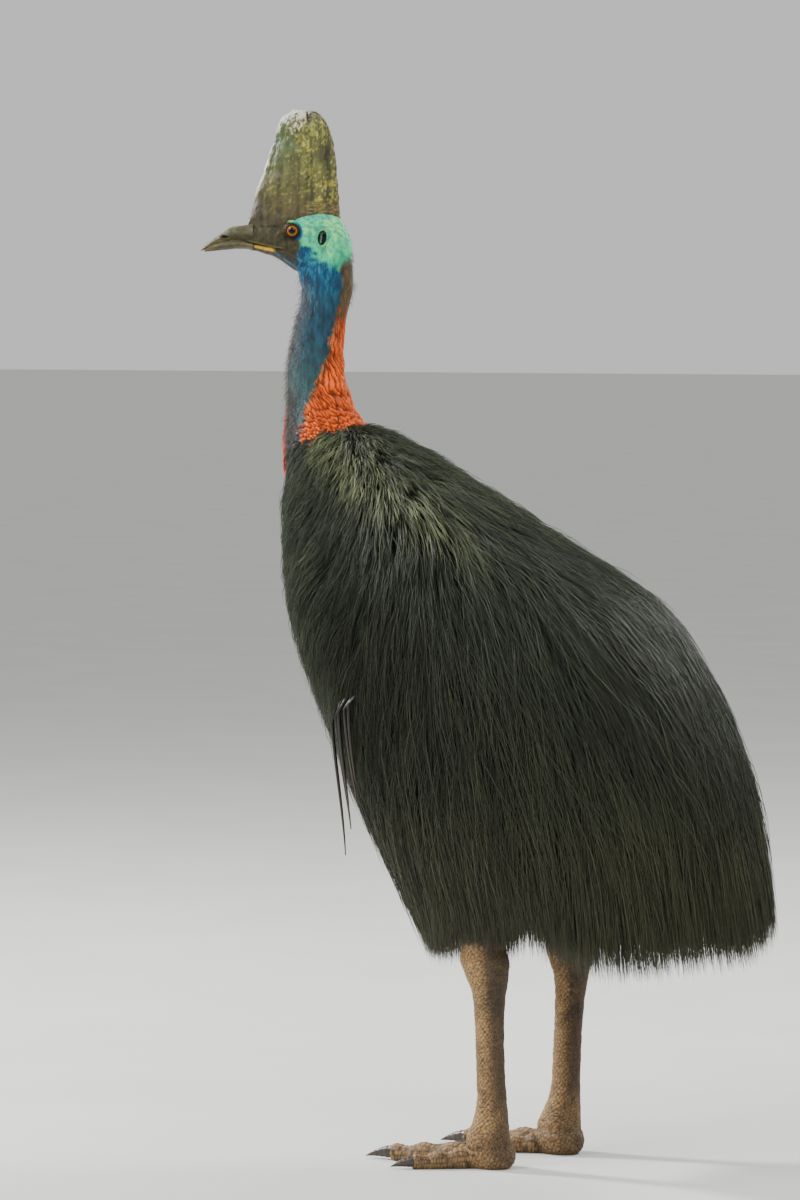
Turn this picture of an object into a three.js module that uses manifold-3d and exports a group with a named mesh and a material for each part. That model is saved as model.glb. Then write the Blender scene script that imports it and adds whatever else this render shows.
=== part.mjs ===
// Southern cassowary, an adult standing upright with its head turned to its left, life size.
// Millimetres, +Z up. The bird faces -X and its left side is -Y. The soles stand on Z = 0.

import * as THREE from 'three';
import { mergeVertices } from 'three/addons/utils/BufferGeometryUtils.js';
import Module from 'manifold-3d';

const wasm = await Module();
wasm.setup();

// Driving dimensions

const gap = 0.3; // clearance between pieces that touch
const legRoom = 2; // clearance of the plumage round each leg
const eyeHeight = 1356; // floor to the middle of the eye
const headTurn = THREE.MathUtils.degToRad(28); // the head looks to the bird's left
const neckTopX = -339; // neck axis where the head sits on it
const throatBack = 51; // eye to neck axis, along the head
const headFloor = 1272; // cut between head and neck
const collarHeight = 1225; // cut between the two lengths of neck
const neckFoot = 1078; // cut between neck and torso
const bellyHeight = 430; // top of the free length of thigh
const hockTop = 322; // thigh meets the bare leg
const ankleHeight = 46; // bare leg meets the foot
const hockSpread = 112; // middle plane to each hock
const footSpread = 86; // middle plane to each foot
const stagger = 11; // left leg forward, right leg back
const eyeRadius = 14;
const coatDepth = 26; // from the solid core of the plumage out to the plumes' tips
const coreFloor = 408; // underside of that core
const hemHeight = 302; // lowest plume tips
const plumeRoot = 9; // how deep a plume is rooted in the core
const plumeSpacing = 128; // round the body
const plumeWidth = 142;
const plumeLength = 240;
const plumeRows = 8;
const rowSpacing = 116;
const quillRadius = 3;
const scuteRise = 1.8; // how far a scute stands over the leg
const shankScuteCount = 9;
const soleCut = 3; // how deep the pads are flattened
const coatFullness = 2.3; // 2 is an oval section through the body, more is squarer

// The body's axis runs down and back from the root of the neck

const bodyRoot = new THREE.Vector3(-330, 0, 1075);
const bodyPitch = THREE.MathUtils.degToRad(45.6);
const bodyAlong = new THREE.Vector3(Math.cos(bodyPitch), 0, -Math.sin(bodyPitch));
const bodyUp = new THREE.Vector3(Math.sin(bodyPitch), 0, Math.cos(bodyPitch));

// Distance along the body's axis, then the reach of the plumage to the back, the breast and each side

const bodyStations = [
	[10, 20, -80, 60],
	[70, 50, -152, 105],
	[130, 72, -196, 138],
	[190, 94, -234, 165],
	[260, 115, -262, 185],
	[350, 139, -294, 203],
	[460, 174, -334, 216],
	[560, 194, -358, 221],
	[640, 184, -377, 219],
	[704, 170, -384, 210],
	[800, 135, -295, 186],
	[890, 84, -194, 146],
	[955, 36, -100, 95],
	[985, -10, -55, 30],
];

// Height, then the neck's axis, its half depth, its half width and its turn towards the head

const neckStations = [
	[990, -300, 84, 84, 0],
	[1040, -329, 68, 66, 0],
	[1073, -344, 56, 54, 0],
	[1096, -351, 49, 47, 0],
	[1119, -355, 45, 43, 2],
	[1144, -359, 42, 40, 6],
	[1164, -359, 40, 38, 10],
	[1188, -356, 38, 36, 16],
	[1222, -350, 36, 34.5, 22],
	[1241, -345, 36, 34.5, 26],
	[1272, -339, 37, 35, 28],
	[1290, -339, 37, 35, 28],
];

// Along the head from the eye, then crown, chin and half width

const headStations = [
	[-67, 8, -26, 17.5],
	[-46, 11, -32, 23],
	[-25, 14, -39, 28],
	[0, 19, -56, 31.5],
	[25, 25, -66, 35],
	[50, 24, -72, 36],
	[70, 15, -74, 33],
	[81, -4, -72, 26],
	[87, -24, -60, 14],
];

// Height over the eye, then throat, nape and half width where the skull runs down into the neck

const napeStations = [
	[-84, 14, 88, 35],
	[-60, 21, 88, 36],
	[-38, 34, 87, 35],
	[-20, 46, 82, 30],
];

const upperBillStations = [
	[-67.3, 9, -16, 17],
	[-84, 6.5, -14, 14.5],
	[-94, 3.6, -14.5, 13],
	[-110, -6, -16.5, 10.5],
	[-122, -14.5, -19.5, 7.5],
	[-131, -21, -24.5, 4.5],
	[-136, -25.5, -27.5, 1.5],
];

const lowerBillStations = [
	[-67.3, -12, -26, 15.5],
	[-84, -11, -27, 13],
	[-110, -13, -29, 9],
	[-122, -17, -29.5, 6],
	[-131, -23, -29.5, 2.5],
];

// Height over the eye, then front edge, rear edge and half thickness of the casque

const casqueStations = [
	[0, -72, 72, 18],
	[15, -66, 70, 19],
	[49, -56, 67, 19.5],
	[85, -43, 64, 18.5],
	[126, -31, 60, 16.5],
	[149, -24, 54, 14.5],
	[164, -17, 46, 11.5],
	[173, -8, 36, 8],
	[177, 2, 24, 4],
];

// Where the casque's rim runs over the skull: along the head, height over the eye

const casqueRim = [[-80, 4], [-66, 6], [-40, 9.5], [-15, 14], [0, 18], [25, 23.5], [52, 22], [72, 11], [90, 2]];

// Height, then fore-and-aft middle, half depth and half width of the bare leg

const shankStations = [
	[322, -4, 33, 27],
	[305, -3, 37, 29],
	[282, 0, 32, 27],
	[256, 2, 25, 22],
	[220, 1, 22, 19],
	[150, 0, 21, 18],
	[100, 0, 22, 19],
	[70, -3, 26, 23],
	[46, -8, 32, 28],
];

const thighStations = [
	[430, -14, 64, 52],
	[390, -12, 56, 47],
	[350, -8, 43, 37],
	[322, -4, 33, 27],
];

// Each toe: its length, half width, half height, splay outwards in degrees, and its claw

const toes = {
	inner: { length: 92, halfWidth: 15, halfHeight: 17, splay: -23, scutes: 2, claw: 100, clawRadius: 9.5, hook: 10 },
	middle: { length: 158, halfWidth: 18, halfHeight: 19, splay: 2, scutes: 5, claw: 46, clawRadius: 9, hook: 9 },
	outer: { length: 112, halfWidth: 15, halfHeight: 17, splay: 36, scutes: 3, claw: 34, clawRadius: 8, hook: 7 },
};

// Colours

const plumeBlack = new THREE.MeshStandardMaterial({ color: 0x2b2f22, roughness: 0.85 });
const turquoise = new THREE.MeshStandardMaterial({ color: 0x6fc2a0, roughness: 0.6 });
const neckBlue = new THREE.MeshStandardMaterial({ color: 0x2f6f94, roughness: 0.65 });
const caruncleOrange = new THREE.MeshStandardMaterial({ color: 0xc55a2a, roughness: 0.6 });
const wattleRed = new THREE.MeshStandardMaterial({ color: 0xa8322c, roughness: 0.55 });
const casqueHorn = new THREE.MeshStandardMaterial({ color: 0x7b7a4c, roughness: 0.7 });
const billHorn = new THREE.MeshStandardMaterial({ color: 0x4f5140, roughness: 0.5 });
const amber = new THREE.MeshStandardMaterial({ color: 0x8a5a26, roughness: 0.15 });
const legTan = new THREE.MeshStandardMaterial({ color: 0xa88454, roughness: 0.75 });
const clawHorn = new THREE.MeshStandardMaterial({ color: 0x4a4238, roughness: 0.45 });

// Smooth curve through the rows of a station table, each row led by its own place

function track(rows) {
	const rising = rows[1][0] > rows[0][0] ? rows : [...rows].reverse();
	const last = rising.length - 1;
	const slope = (i, k) => {
		const before = rising[Math.max(i - 1, 0)];
		const after = rising[Math.min(i + 1, last)];
		return (after[k] - before[k]) / (after[0] - before[0]);
	};
	return (place) => {
		let i = 0;
		while (i < last - 1 && place > rising[i + 1][0]) i += 1;
		const span = rising[i + 1][0] - rising[i][0];
		const t = THREE.MathUtils.clamp((place - rising[i][0]) / span, 0, 1);
		return rising[i].slice(1).map((start, n) => {
			const end = rising[i + 1][n + 1];
			const climb = (2 * t ** 3 - 3 * t ** 2 + 1) * start + (3 * t ** 2 - 2 * t ** 3) * end;
			const lean = (t ** 3 - 2 * t ** 2 + t) * slope(i, n + 1) + (t ** 3 - t ** 2) * slope(i + 1, n + 1);
			return climb + lean * span;
		});
	};
}

function steps(from, to, count) {
	return Array.from({ length: count + 1 }, (_, i) => from + ((to - from) * i) / count);
}

// Ring of points round a centre: side and up are unit directions, fullness squares the oval

function ring(centre, side, up, halfSide, halfUp, sides, fullness = 2) {
	return Array.from({ length: sides }, (_, k) => {
		const angle = (k / sides) * Math.PI * 2;
		const c = Math.cos(angle);
		const s = Math.sin(angle);
		const across = Math.sign(c) * Math.abs(c) ** (2 / fullness) * halfSide;
		const above = Math.sign(s) * Math.abs(s) ** (2 / fullness) * halfUp;
		return centre.clone().addScaledVector(side, across).addScaledVector(up, above);
	});
}

// Closed skin over a row of rings, with a fan over each end

function loft(rings) {
	const sides = rings[0].length;
	const points = rings.flat();
	const faces = [];
	for (let r = 0; r < rings.length - 1; r += 1) {
		for (let k = 0; k < sides; k += 1) {
			const a = r * sides + k;
			const b = r * sides + ((k + 1) % sides);
			faces.push(a, b, b + sides, a, b + sides, a + sides);
		}
	}
	const middle = (points) => points.reduce((sum, p) => sum.add(p), new THREE.Vector3()).divideScalar(sides);
	const first = points.push(middle(rings[0])) - 1;
	const last = points.push(middle(rings[rings.length - 1])) - 1;
	const lastRing = (rings.length - 1) * sides;
	for (let k = 0; k < sides; k += 1) {
		const next = (k + 1) % sides;
		faces.push(first, next, k, last, lastRing + k, lastRing + next);
	}
	const geometry = new THREE.BufferGeometry();
	geometry.setAttribute('position', new THREE.Float32BufferAttribute(points.flatMap((p) => p.toArray()), 3));
	geometry.setIndex(faces);
	return geometry;
}

// Solids for cutting and joining

function solid(geometry) {
	const bare = geometry.clone();
	bare.deleteAttribute('normal');
	bare.deleteAttribute('uv');
	const welded = mergeVertices(bare, 1e-4);
	const body = new wasm.Manifold(new wasm.Mesh({
		numProp: 3,
		vertProperties: new Float32Array(welded.getAttribute('position').array),
		triVerts: new Uint32Array(welded.getIndex().array),
	}));
	return body.volume() < 0 ? solid(flipped(welded)) : body;
}

function flipped(geometry) {
	const turned = geometry.clone();
	const index = [...geometry.getIndex().array];
	for (let i = 0; i < index.length; i += 3) [index[i], index[i + 1]] = [index[i + 1], index[i]];
	turned.setIndex(index);
	return turned;
}

function largest(body) {
	return body.decompose().reduce((best, piece) => (piece.volume() > best.volume() ? piece : best));
}

function shape(body) {
	const mesh = largest(body).getMesh();
	const geometry = new THREE.BufferGeometry();
	geometry.setAttribute('position', new THREE.Float32BufferAttribute([...mesh.vertProperties], 3));
	geometry.setIndex([...mesh.triVerts]);
	return geometry;
}

function box(min, max) {
	const geometry = new THREE.BoxGeometry(max[0] - min[0], max[1] - min[1], max[2] - min[2]);
	geometry.translate((min[0] + max[0]) / 2, (min[1] + max[1]) / 2, (min[2] + max[2]) / 2);
	return solid(geometry);
}

function between(low, high) {
	return box([-900, -600, low], [900, 600, high]);
}

function ball(centre, radii, segments = 16) {
	const geometry = new THREE.SphereGeometry(1, segments, segments / 2);
	geometry.scale(...radii);
	geometry.translate(...centre);
	return solid(geometry);
}

const forward = new THREE.Vector3(-1, 0, 0);
const left = new THREE.Vector3(0, -1, 0);
const upward = new THREE.Vector3(0, 0, 1);

// Sections across the head or bill, from one place along it to another

function lengthwise(rows, from, to, count, sides, fullness = 2, grow = 0) {
	const at = track(rows);
	return loft(steps(from, to, count).map((x) => {
		const [top, bottom, half] = at(x);
		const centre = new THREE.Vector3(x, 0, (top + bottom) / 2);
		return ring(centre, left, upward, half + grow, (top - bottom) / 2 + grow, sides, fullness);
	}));
}

// Level sections of a neck or leg, leaning with its axis

function upright(rows, from, to, count, sides, grow = 0) {
	const at = track(rows);
	return loft(steps(from, to, count).map((z) => {
		const [x, halfDepth, halfWidth, turn = 0] = at(z);
		const ahead = forward.clone().applyAxisAngle(upward, THREE.MathUtils.degToRad(turn));
		const aside = left.clone().applyAxisAngle(upward, THREE.MathUtils.degToRad(turn));
		return ring(new THREE.Vector3(x, 0, z), ahead, aside, halfDepth + grow, halfWidth + grow, sides);
	}));
}

// Head

function headSolid() {
	const face = solid(lengthwise(headStations, -67, 87, 11, 16));
	const at = track(napeStations);
	const nape = solid(loft(steps(headFloor - eyeHeight + gap / 2, -20, 5).map((z) => {
		const [throat, back, half] = at(z);
		return ring(new THREE.Vector3((throat + back) / 2, 0, z), forward, left, (back - throat) / 2, half, 16);
	})));
	return face.add(nape);
}

function eyeCentre(side) {
	return [0, side * 19.5, 0];
}

function lidRing(side) {
	const rim = new THREE.TorusGeometry(12.2, 2.6, 4, 12);
	rim.rotateX(Math.PI / 2);
	rim.rotateZ(side * -0.1);
	rim.translate(0, side * 27, 0);
	return solid(rim);
}

function earCup(side) {
	const cup = new THREE.SphereGeometry(1, 10, 6);
	cup.scale(6.5, 9, 11);
	cup.rotateY(-0.15);
	cup.translate(45, side * 38, -12);
	return solid(cup);
}

function gapeSlit(side) {
	const start = side < 0 ? -60 : 10;
	const end = side < 0 ? -10 : 60;
	return box([-69, start, -18.2], [-14, end, -16.8]);
}

// Casque: a tall blade of horn over the skull, with a worn split in its crest

function casqueSolid(grow = 0) {
	const at = track(casqueStations);
	const blade = loft([...steps(0, 150, 7), 160, 168, 174, 177].map((z) => {
		const [front, back, half] = at(z);
		const centre = new THREE.Vector3((front + back) / 2, 0, z);
		return ring(centre, forward, left, (back - front) / 2 + grow, half + grow, 16, 1.8);
	}));
	return solid(blade);
}

// Outlines in the plane of the bird's middle, drawn out to both sides

function slab(points, halfWidth) {
	const outline = new THREE.Shape(points.map(([x, z]) => new THREE.Vector2(x, z)));
	const block = new THREE.ExtrudeGeometry(outline, { depth: halfWidth * 2, bevelEnabled: false });
	block.rotateX(Math.PI / 2);
	block.translate(0, halfWidth, 0);
	return solid(block);
}

function casqueSplit() {
	return slab([[17, 190], [24, 190], [22, 150], [21, 150]], 40);
}

function skullRoom(lift) {
	const rim = new THREE.SplineCurve(casqueRim.map(([x, z]) => new THREE.Vector2(x, z + lift)));
	return slab([[-80, -60], ...rim.getPoints(10).map((p) => [p.x, p.y]), [90, -60]], 50);
}

// Plumage

function bodyPoint(along, up, side) {
	return bodyRoot.clone()
		.addScaledVector(bodyAlong, along)
		.addScaledVector(bodyUp, up)
		.add(new THREE.Vector3(0, side, 0));
}

function bodySolid(inset, count, sides) {
	const at = track(bodyStations);
	const rings = steps(bodyStations[0][0], bodyStations[bodyStations.length - 1][0], count).map((s) => {
		const [back, breast, half] = at(s);
		const centre = bodyPoint(s, (back + breast) / 2, 0);
		const halfUp = Math.max((back - breast) / 2 - inset, 4);
		return ring(centre, left, bodyUp, Math.max(half - inset, 4), halfUp, sides, coatFullness);
	});
	return solid(loft(rings));
}

// Height of a point over the outline of the plumage, measured out from the body's axis

const bodyAt = track(bodyStations);

function heightOverCoat(point) {
	const offset = point.clone().sub(bodyRoot);
	const [back, breast, half] = bodyAt(offset.dot(bodyAlong));
	const up = offset.dot(bodyUp) - (back + breast) / 2;
	const reach = Math.hypot(up, offset.y);
	const oval = (Math.abs(up / ((back - breast) / 2)) ** coatFullness + Math.abs(offset.y / half) ** coatFullness)
		** (1 / coatFullness);
	return reach - reach / Math.max(oval, 0.05);
}

function outward(point) {
	const slope = [[1, 0, 0], [0, 1, 0], [0, 0, 1]].map((step) => {
		const nudge = new THREE.Vector3(...step);
		return heightOverCoat(point.clone().add(nudge)) - heightOverCoat(point.clone().sub(nudge));
	});
	return new THREE.Vector3(...slope).normalize();
}

// A plume follows the lie of the coat: back and down from the spine, then more and more straight down

function coatLie(point, normal) {
	const lean = THREE.MathUtils.mapLinear(point.z, coreFloor, neckFoot, 0.12, 0.62);
	const lie = new THREE.Vector3(lean, 0, -1);
	const free = normal.z < -0.8;
	return free ? lie.normalize() : lie.addScaledVector(normal, -lie.dot(normal)).normalize();
}

function plume(root, length, width, swing, tipHeight) {
	const stations = 4;
	const point = root.clone();
	const rings = [];
	for (let i = 0; i <= stations; i += 1) {
		const t = i / stations;
		const normal = outward(point);
		const lie = coatLie(point, normal).applyAxisAngle(normal, swing);
		const across = lie.clone().cross(normal).normalize();
		const face = across.clone().cross(lie).normalize();
		const half = (width / 2) * Math.min(0.7 + 1.2 * t, 1) * (1 - t ** 2.6) + 0.6;
		const thick = 8 * (1 - 0.8 * t) + 1;
		rings.push([
			point.clone().addScaledVector(across, half).addScaledVector(face, -thick / 2),
			point.clone().addScaledVector(face, thick / 2),
			point.clone().addScaledVector(across, -half).addScaledVector(face, -thick / 2),
		]);
		const room = (point.z - tipHeight) / Math.max(stations - i, 1) / Math.max(-lie.z, 0.05);
		point.addScaledVector(lie, Math.min(length / stations, room));
		const rise = Math.sin(Math.min(((i + 1) / stations) * 1.4, 1) * Math.PI / 2);
		const lift = -coatDepth - plumeRoot + (coatDepth + plumeRoot - 3) * rise;
		if (normal.z > -0.8) point.addScaledVector(outward(point), lift - heightOverCoat(point));
	}
	return solid(loft(rings));
}

function seeded(seed) {
	let state = seed;
	return () => {
		state = (state + 0x6d2b79f5) | 0;
		let mixed = Math.imul(state ^ (state >>> 15), 1 | state);
		mixed = (mixed + Math.imul(mixed ^ (mixed >>> 7), 61 | mixed)) ^ mixed;
		return ((mixed ^ (mixed >>> 14)) >>> 0) / 2 ** 32;
	};
}

function plumes() {
	const random = seeded(12);
	const coat = [];
	for (let row = 0; row < plumeRows; row += 1) {
		const s = 30 + row * rowSpacing;
		const [back, breast, half] = bodyAt(s);
		const halfUp = (back - breast) / 2 - coatDepth - plumeRoot;
		const halfSide = half - coatDepth - plumeRoot;
		const count = Math.max(5, Math.round((Math.PI * (halfUp + halfSide)) / plumeSpacing));
		for (let k = 0; k < count; k += 1) {
			const angle = ((k + 0.5 * (row % 2) + 0.3 * (random() - 0.5)) / count) * Math.PI * 2;
			const along = s + 30 * (random() - 0.5);
			const root = bodyPoint(along, (back + breast) / 2 + halfUp * Math.sin(angle), halfSide * Math.cos(angle));
			const length = plumeLength * (1 + 0.2 * random() - 0.2 * Math.max(0, s - 760) / 100);
			const width = plumeWidth * (0.9 + 0.25 * random());
			const swing = 0.24 * (random() - 0.5);
			const tipHeight = hemHeight + 36 * random() ** 2;
			const rooted = root.z > coreFloor + 12 && outward(root).z > -0.75;
			if (rooted) coat.push(plume(root, length, width, swing, tipHeight));
		}
	}
	return coat;
}

// The line between torso and rump follows the lie of the plumes

const rumpLine = [[-20, 1100], [60, 940], [190, 760], [270, 600], [320, 420], [345, 200]];

function rumpBlock(shift) {
	const curve = new THREE.SplineCurve(rumpLine.map(([x, z]) => new THREE.Vector2(x + shift, z)));
	return slab([...curve.getPoints(12).map((p) => [p.x, p.y]), [700, 200], [700, 1100]], 400);
}

// Wings: a stub under the coat, whose few bare quills come out through it and hang down the flank

function wingSeat(side) {
	const s = 318;
	const [back, breast, half] = bodyAt(s);
	const angle = THREE.MathUtils.degToRad(-36);
	const halfUp = (back - breast) / 2 - coatDepth;
	return bodyPoint(s, (back + breast) / 2 + halfUp * Math.sin(angle), side * (half - coatDepth) * Math.cos(angle));
}

function wingSolid(side, grow = 0) {
	const seat = wingSeat(side);
	const stub = ball(seat.toArray(), [46 + grow, 13 + grow, 24 + grow], 6);
	const quills = [-1, 0, 1].map((place) => {
		const point = seat.clone().add(new THREE.Vector3(place * 22 - 4, 0, -6));
		const rings = steps(0, 1, 5).map((t) => {
			const normal = outward(point);
			const radius = quillRadius * (1 - 0.6 * t) + grow;
			const centre = point.clone();
			const lie = coatLie(point, normal);
			point.addScaledVector(lie, (190 - 18 * place) / 5);
			point.addScaledVector(normal, 7 * Math.min(t * 4, 1) - heightOverCoat(point));
			return ring(centre, lie.clone().cross(normal).normalize(), normal, radius, radius, 4);
		});
		return solid(loft(rings));
	});
	return wasm.Manifold.union([stub, ...quills]);
}

// Legs

function legShift(side, height) {
	const spread = THREE.MathUtils.mapLinear(height, 0, hockTop, footSpread, hockSpread);
	return new THREE.Vector3(side < 0 ? -stagger : stagger, side * spread, 0);
}

// A raised plate bent over the front of a leg or the top of a toe

function scute(centre, out, aside, along, halfOut, halfAside, halfLength) {
	const corners = [[scuteRise, halfLength], [scuteRise, -halfLength], [-3, -halfLength], [-3, halfLength]];
	return solid(loft([-48, 0, 48].map((degrees) => {
		const angle = THREE.MathUtils.degToRad(degrees);
		return corners.map(([rise, shift]) => centre.clone()
			.addScaledVector(out, (halfOut + rise) * Math.cos(angle))
			.addScaledVector(aside, (halfAside + rise) * Math.sin(angle))
			.addScaledVector(along, shift));
	})));
}

function shankScutes(side) {
	const at = track(shankStations);
	return steps(72, 276, shankScuteCount - 1).map((z) => {
		const [x, halfDepth, halfWidth] = at(z);
		const centre = legShift(side, z).add(new THREE.Vector3(x, 0, z));
		return scute(centre, forward, left, upward, halfDepth, halfWidth, 11);
	});
}

function legLoft(rows, from, to, count, side, sides, grow = 0) {
	const at = track(rows);
	return loft(steps(from, to, count).map((z) => {
		const [x, halfDepth, halfWidth] = at(z);
		const centre = legShift(side, z).add(new THREE.Vector3(x, 0, z));
		return ring(centre, forward, left, halfDepth + grow, halfWidth + grow, sides);
	}));
}

function heelSolid(side, grow = 0) {
	const centre = legShift(side, 0).add(new THREE.Vector3(-6, 0, 20));
	return ball(centre.toArray(), [38 + grow, 31 + grow, 30 + grow], 10);
}

function toeFrame(side, toe) {
	const turn = THREE.MathUtils.degToRad(-side * toe.splay);
	const heading = forward.clone().applyAxisAngle(upward, turn);
	const aside = left.clone().applyAxisAngle(upward, turn);
	const start = legShift(side, 0).add(new THREE.Vector3(-6, 0, 0));
	return { heading, aside, start };
}

function toeSection(side, toe, t) {
	const { heading, start } = toeFrame(side, toe);
	const thin = (1 - 0.34 * t) * (1 + 0.09 * Math.cos(t * Math.PI * 6));
	const centre = start.addScaledVector(heading, toe.length * t + 14 * (1 - t)).setZ(toe.halfHeight * thin - soleCut);
	return { centre, halfWidth: toe.halfWidth * thin, halfHeight: toe.halfHeight * thin };
}

function toeSolid(side, toe, grow = 0) {
	const { aside } = toeFrame(side, toe);
	return solid(loft(steps(0, 1, 7).map((t) => {
		const { centre, halfWidth, halfHeight } = toeSection(side, toe, t);
		return ring(centre, aside, upward, halfWidth + grow, halfHeight + grow, 8);
	})));
}

function toeScutes(side, toe) {
	const { heading, aside } = toeFrame(side, toe);
	return steps(0.45, 0.84, toe.scutes - 1).map((t) => {
		const { centre, halfWidth, halfHeight } = toeSection(side, toe, t);
		return scute(centre, upward, aside, heading, halfHeight, halfWidth, (0.17 * toe.length) / toe.scutes);
	});
}

function clawSolid(side, toe) {
	const { heading, aside, start } = toeFrame(side, toe);
	const rings = steps(0, 1, 5).map((t) => {
		const radius = toe.clawRadius * (1 - t ** 1.5) + 0.6;
		const rise = toe.clawRadius + 3 - toe.hook * t * t;
		const reach = toe.length + gap + toe.claw * t;
		const centre = start.clone().addScaledVector(heading, reach).setZ(Math.max(rise, radius + 0.2));
		return ring(centre, aside, upward, radius * 0.85, radius, 8);
	});
	return solid(loft(rings));
}

// Caruncles: lumps in upright rows on the hind neck, over a patch that widens downwards

function caruncles() {
	const random = seeded(5);
	const at = track(neckStations);
	const lumps = [];
	for (const [row, z] of steps(1096, 1208, 4).entries()) {
		const [x, halfDepth, halfWidth, turn] = at(z);
		const reach = THREE.MathUtils.mapLinear(z, 1096, 1214, 78, 26);
		const count = Math.round(reach / 24) + 1;
		for (const step of steps(-reach, reach, count)) {
			const angle = THREE.MathUtils.degToRad(step + 4 * (row % 2) + turn);
			const lump = new THREE.SphereGeometry(1, 5, 3);
			lump.scale(5 + 2 * random(), 8.5, 14 + 4 * random());
			lump.rotateZ(angle);
			lump.translate(x + halfDepth * Math.cos(angle), halfWidth * Math.sin(angle), z + 6 * (random() - 0.5));
			lumps.push(solid(lump));
		}
	}
	return lumps;
}

// Wattles

function wattleSolid(side) {
	const rings = steps(0, 1, 7).map((t) => {
		const swell = Math.sin(Math.PI * (0.12 + 0.8 * t)) ** 0.7;
		const centre = new THREE.Vector3(-399 - 3 * t, side * (9.5 + 2 * t), 1096 - 104 * t);
		return ring(centre, forward, left, 9 * swell, 6.5 * swell, 8);
	});
	return solid(loft(rings));
}

// The bird

const bird = new THREE.Group();

function place(name, body, material, parent = bird) {
	const mesh = new THREE.Mesh(shape(body), material);
	mesh.name = name;
	parent.add(mesh);
}

const headGroup = new THREE.Group();
headGroup.position.set(
	neckTopX - throatBack * Math.cos(headTurn),
	-throatBack * Math.sin(headTurn),
	eyeHeight,
);
headGroup.rotation.z = headTurn;
bird.add(headGroup);

const sidesOfBird = { left: -1, right: 1 };
const casqueSeat = headSolid();
let head = casqueSeat;
for (const side of Object.values(sidesOfBird)) {
	head = head.add(lidRing(side)).subtract(earCup(side)).subtract(gapeSlit(side));
	head = head.subtract(ball(eyeCentre(side), Array(3).fill(eyeRadius + gap), 12));
}
const casqueRoom = casqueSolid(gap).subtract(skullRoom(0));
place('head', head.subtract(casqueRoom), turquoise, headGroup);
place('casque', casqueSolid().subtract(skullRoom(gap)).subtract(casqueSplit()), casqueHorn, headGroup);

const upperBill = solid(lengthwise(upperBillStations, -67.3, -136, 8, 12));
const upperBillRoom = solid(lengthwise(upperBillStations, -67.3, -136, 8, 12, 2, gap));
const lowerBill = solid(lengthwise(lowerBillStations, -67.3, -131, 6, 12));
let nostrils = upperBill;
for (const side of Object.values(sidesOfBird)) {
	nostrils = nostrils.subtract(ball([-101, side * 13, -7], [7, 4, 2.4], 8));
}
place('bill_upper', nostrils.subtract(casqueRoom), billHorn, headGroup);
place('bill_lower', lowerBill.subtract(upperBillRoom), billHorn, headGroup);
for (const [name, side] of Object.entries(sidesOfBird)) {
	place(`eye_${name}`, ball(eyeCentre(side), Array(3).fill(eyeRadius), 12), amber, headGroup);
}

const neck = solid(upright(neckStations, 990, 1290, 14, 18));
const throatRoom = solid(upright(neckStations, 990, 1290, 14, 18, gap)).add(bodySolid(-gap, 16, 24));
place('neck_upper', neck.intersect(between(collarHeight, headFloor - gap / 2)), neckBlue);
const lumpyNeck = wasm.Manifold.union([neck, ...caruncles()]);
place('neck_lower', lumpyNeck.intersect(between(neckFoot, collarHeight - gap)), caruncleOrange);

const core = bodySolid(coatDepth, 16, 24).intersect(between(coreFloor, neckFoot));
const plumage = wasm.Manifold.union([core, neck, ...plumes()]).intersect(between(hemHeight - 20, neckFoot - gap));
let coat = plumage;
for (const side of Object.values(sidesOfBird)) {
	coat = coat.subtract(solid(legLoft(thighStations, bellyHeight, hockTop - legRoom, 4, side, 12, legRoom)));
	coat = coat.subtract(solid(legLoft(shankStations, hockTop, 270, 3, side, 12, legRoom)));
}
for (const [name, side] of Object.entries(sidesOfBird)) {
	coat = coat.subtract(wingSolid(side, gap));
	place(`wing_${name}`, wingSolid(side), plumeBlack);
}
place('torso', coat.subtract(rumpBlock(0)), plumeBlack);
place('rump', coat.intersect(rumpBlock(2 * gap)), plumeBlack);

for (const [name, side] of Object.entries(sidesOfBird)) {
	place(`thigh_${name}`, solid(legLoft(thighStations, bellyHeight - gap, hockTop, 4, side, 12)), plumeBlack);
	const shank = solid(legLoft(shankStations, hockTop - gap, ankleHeight, 10, side, 10));
	const floorRoom = between(0, 900);
	const foot = wasm.Manifold.union([shank, heelSolid(side), ...shankScutes(side)]).intersect(floorRoom);
	place(`shank_${name}`, foot, legTan);
	const footRoom = solid(legLoft(shankStations, hockTop, ankleHeight - 4, 10, side, 10, gap))
		.add(heelSolid(side, gap));
	const middleRoom = toeSolid(side, toes.middle, gap);
	for (const [toeName, toe] of Object.entries(toes)) {
		const scaled = wasm.Manifold.union([toeSolid(side, toe), ...toeScutes(side, toe)]);
		let pad = scaled.intersect(floorRoom).subtract(footRoom);
		if (toeName !== 'middle') pad = pad.subtract(middleRoom);
		place(`toe_${toeName}_${name}`, pad, legTan);
		place(`claw_${toeName}_${name}`, clawSolid(side, toe), clawHorn);
	}
	place(`wattle_${name}`, wattleSolid(side).subtract(throatRoom), wattleRed);
}

// The origin lies on the floor under the middle of the bird

const bounds = new THREE.Box3().setFromObject(bird, true);
const middle = bounds.getCenter(new THREE.Vector3());
bird.position.set(-middle.x, -middle.y, -bounds.min.z);

const group = new THREE.Group();
group.add(bird);

export default group;
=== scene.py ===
# Southern cassowary, a still life-size model: adult bird, head turned to its left
# Metres, +Z up. The bird faces -X and its left side is towards -Y.

import math

import bmesh
import bpy
import numpy as np
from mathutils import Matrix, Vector, kdtree, noise


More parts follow.
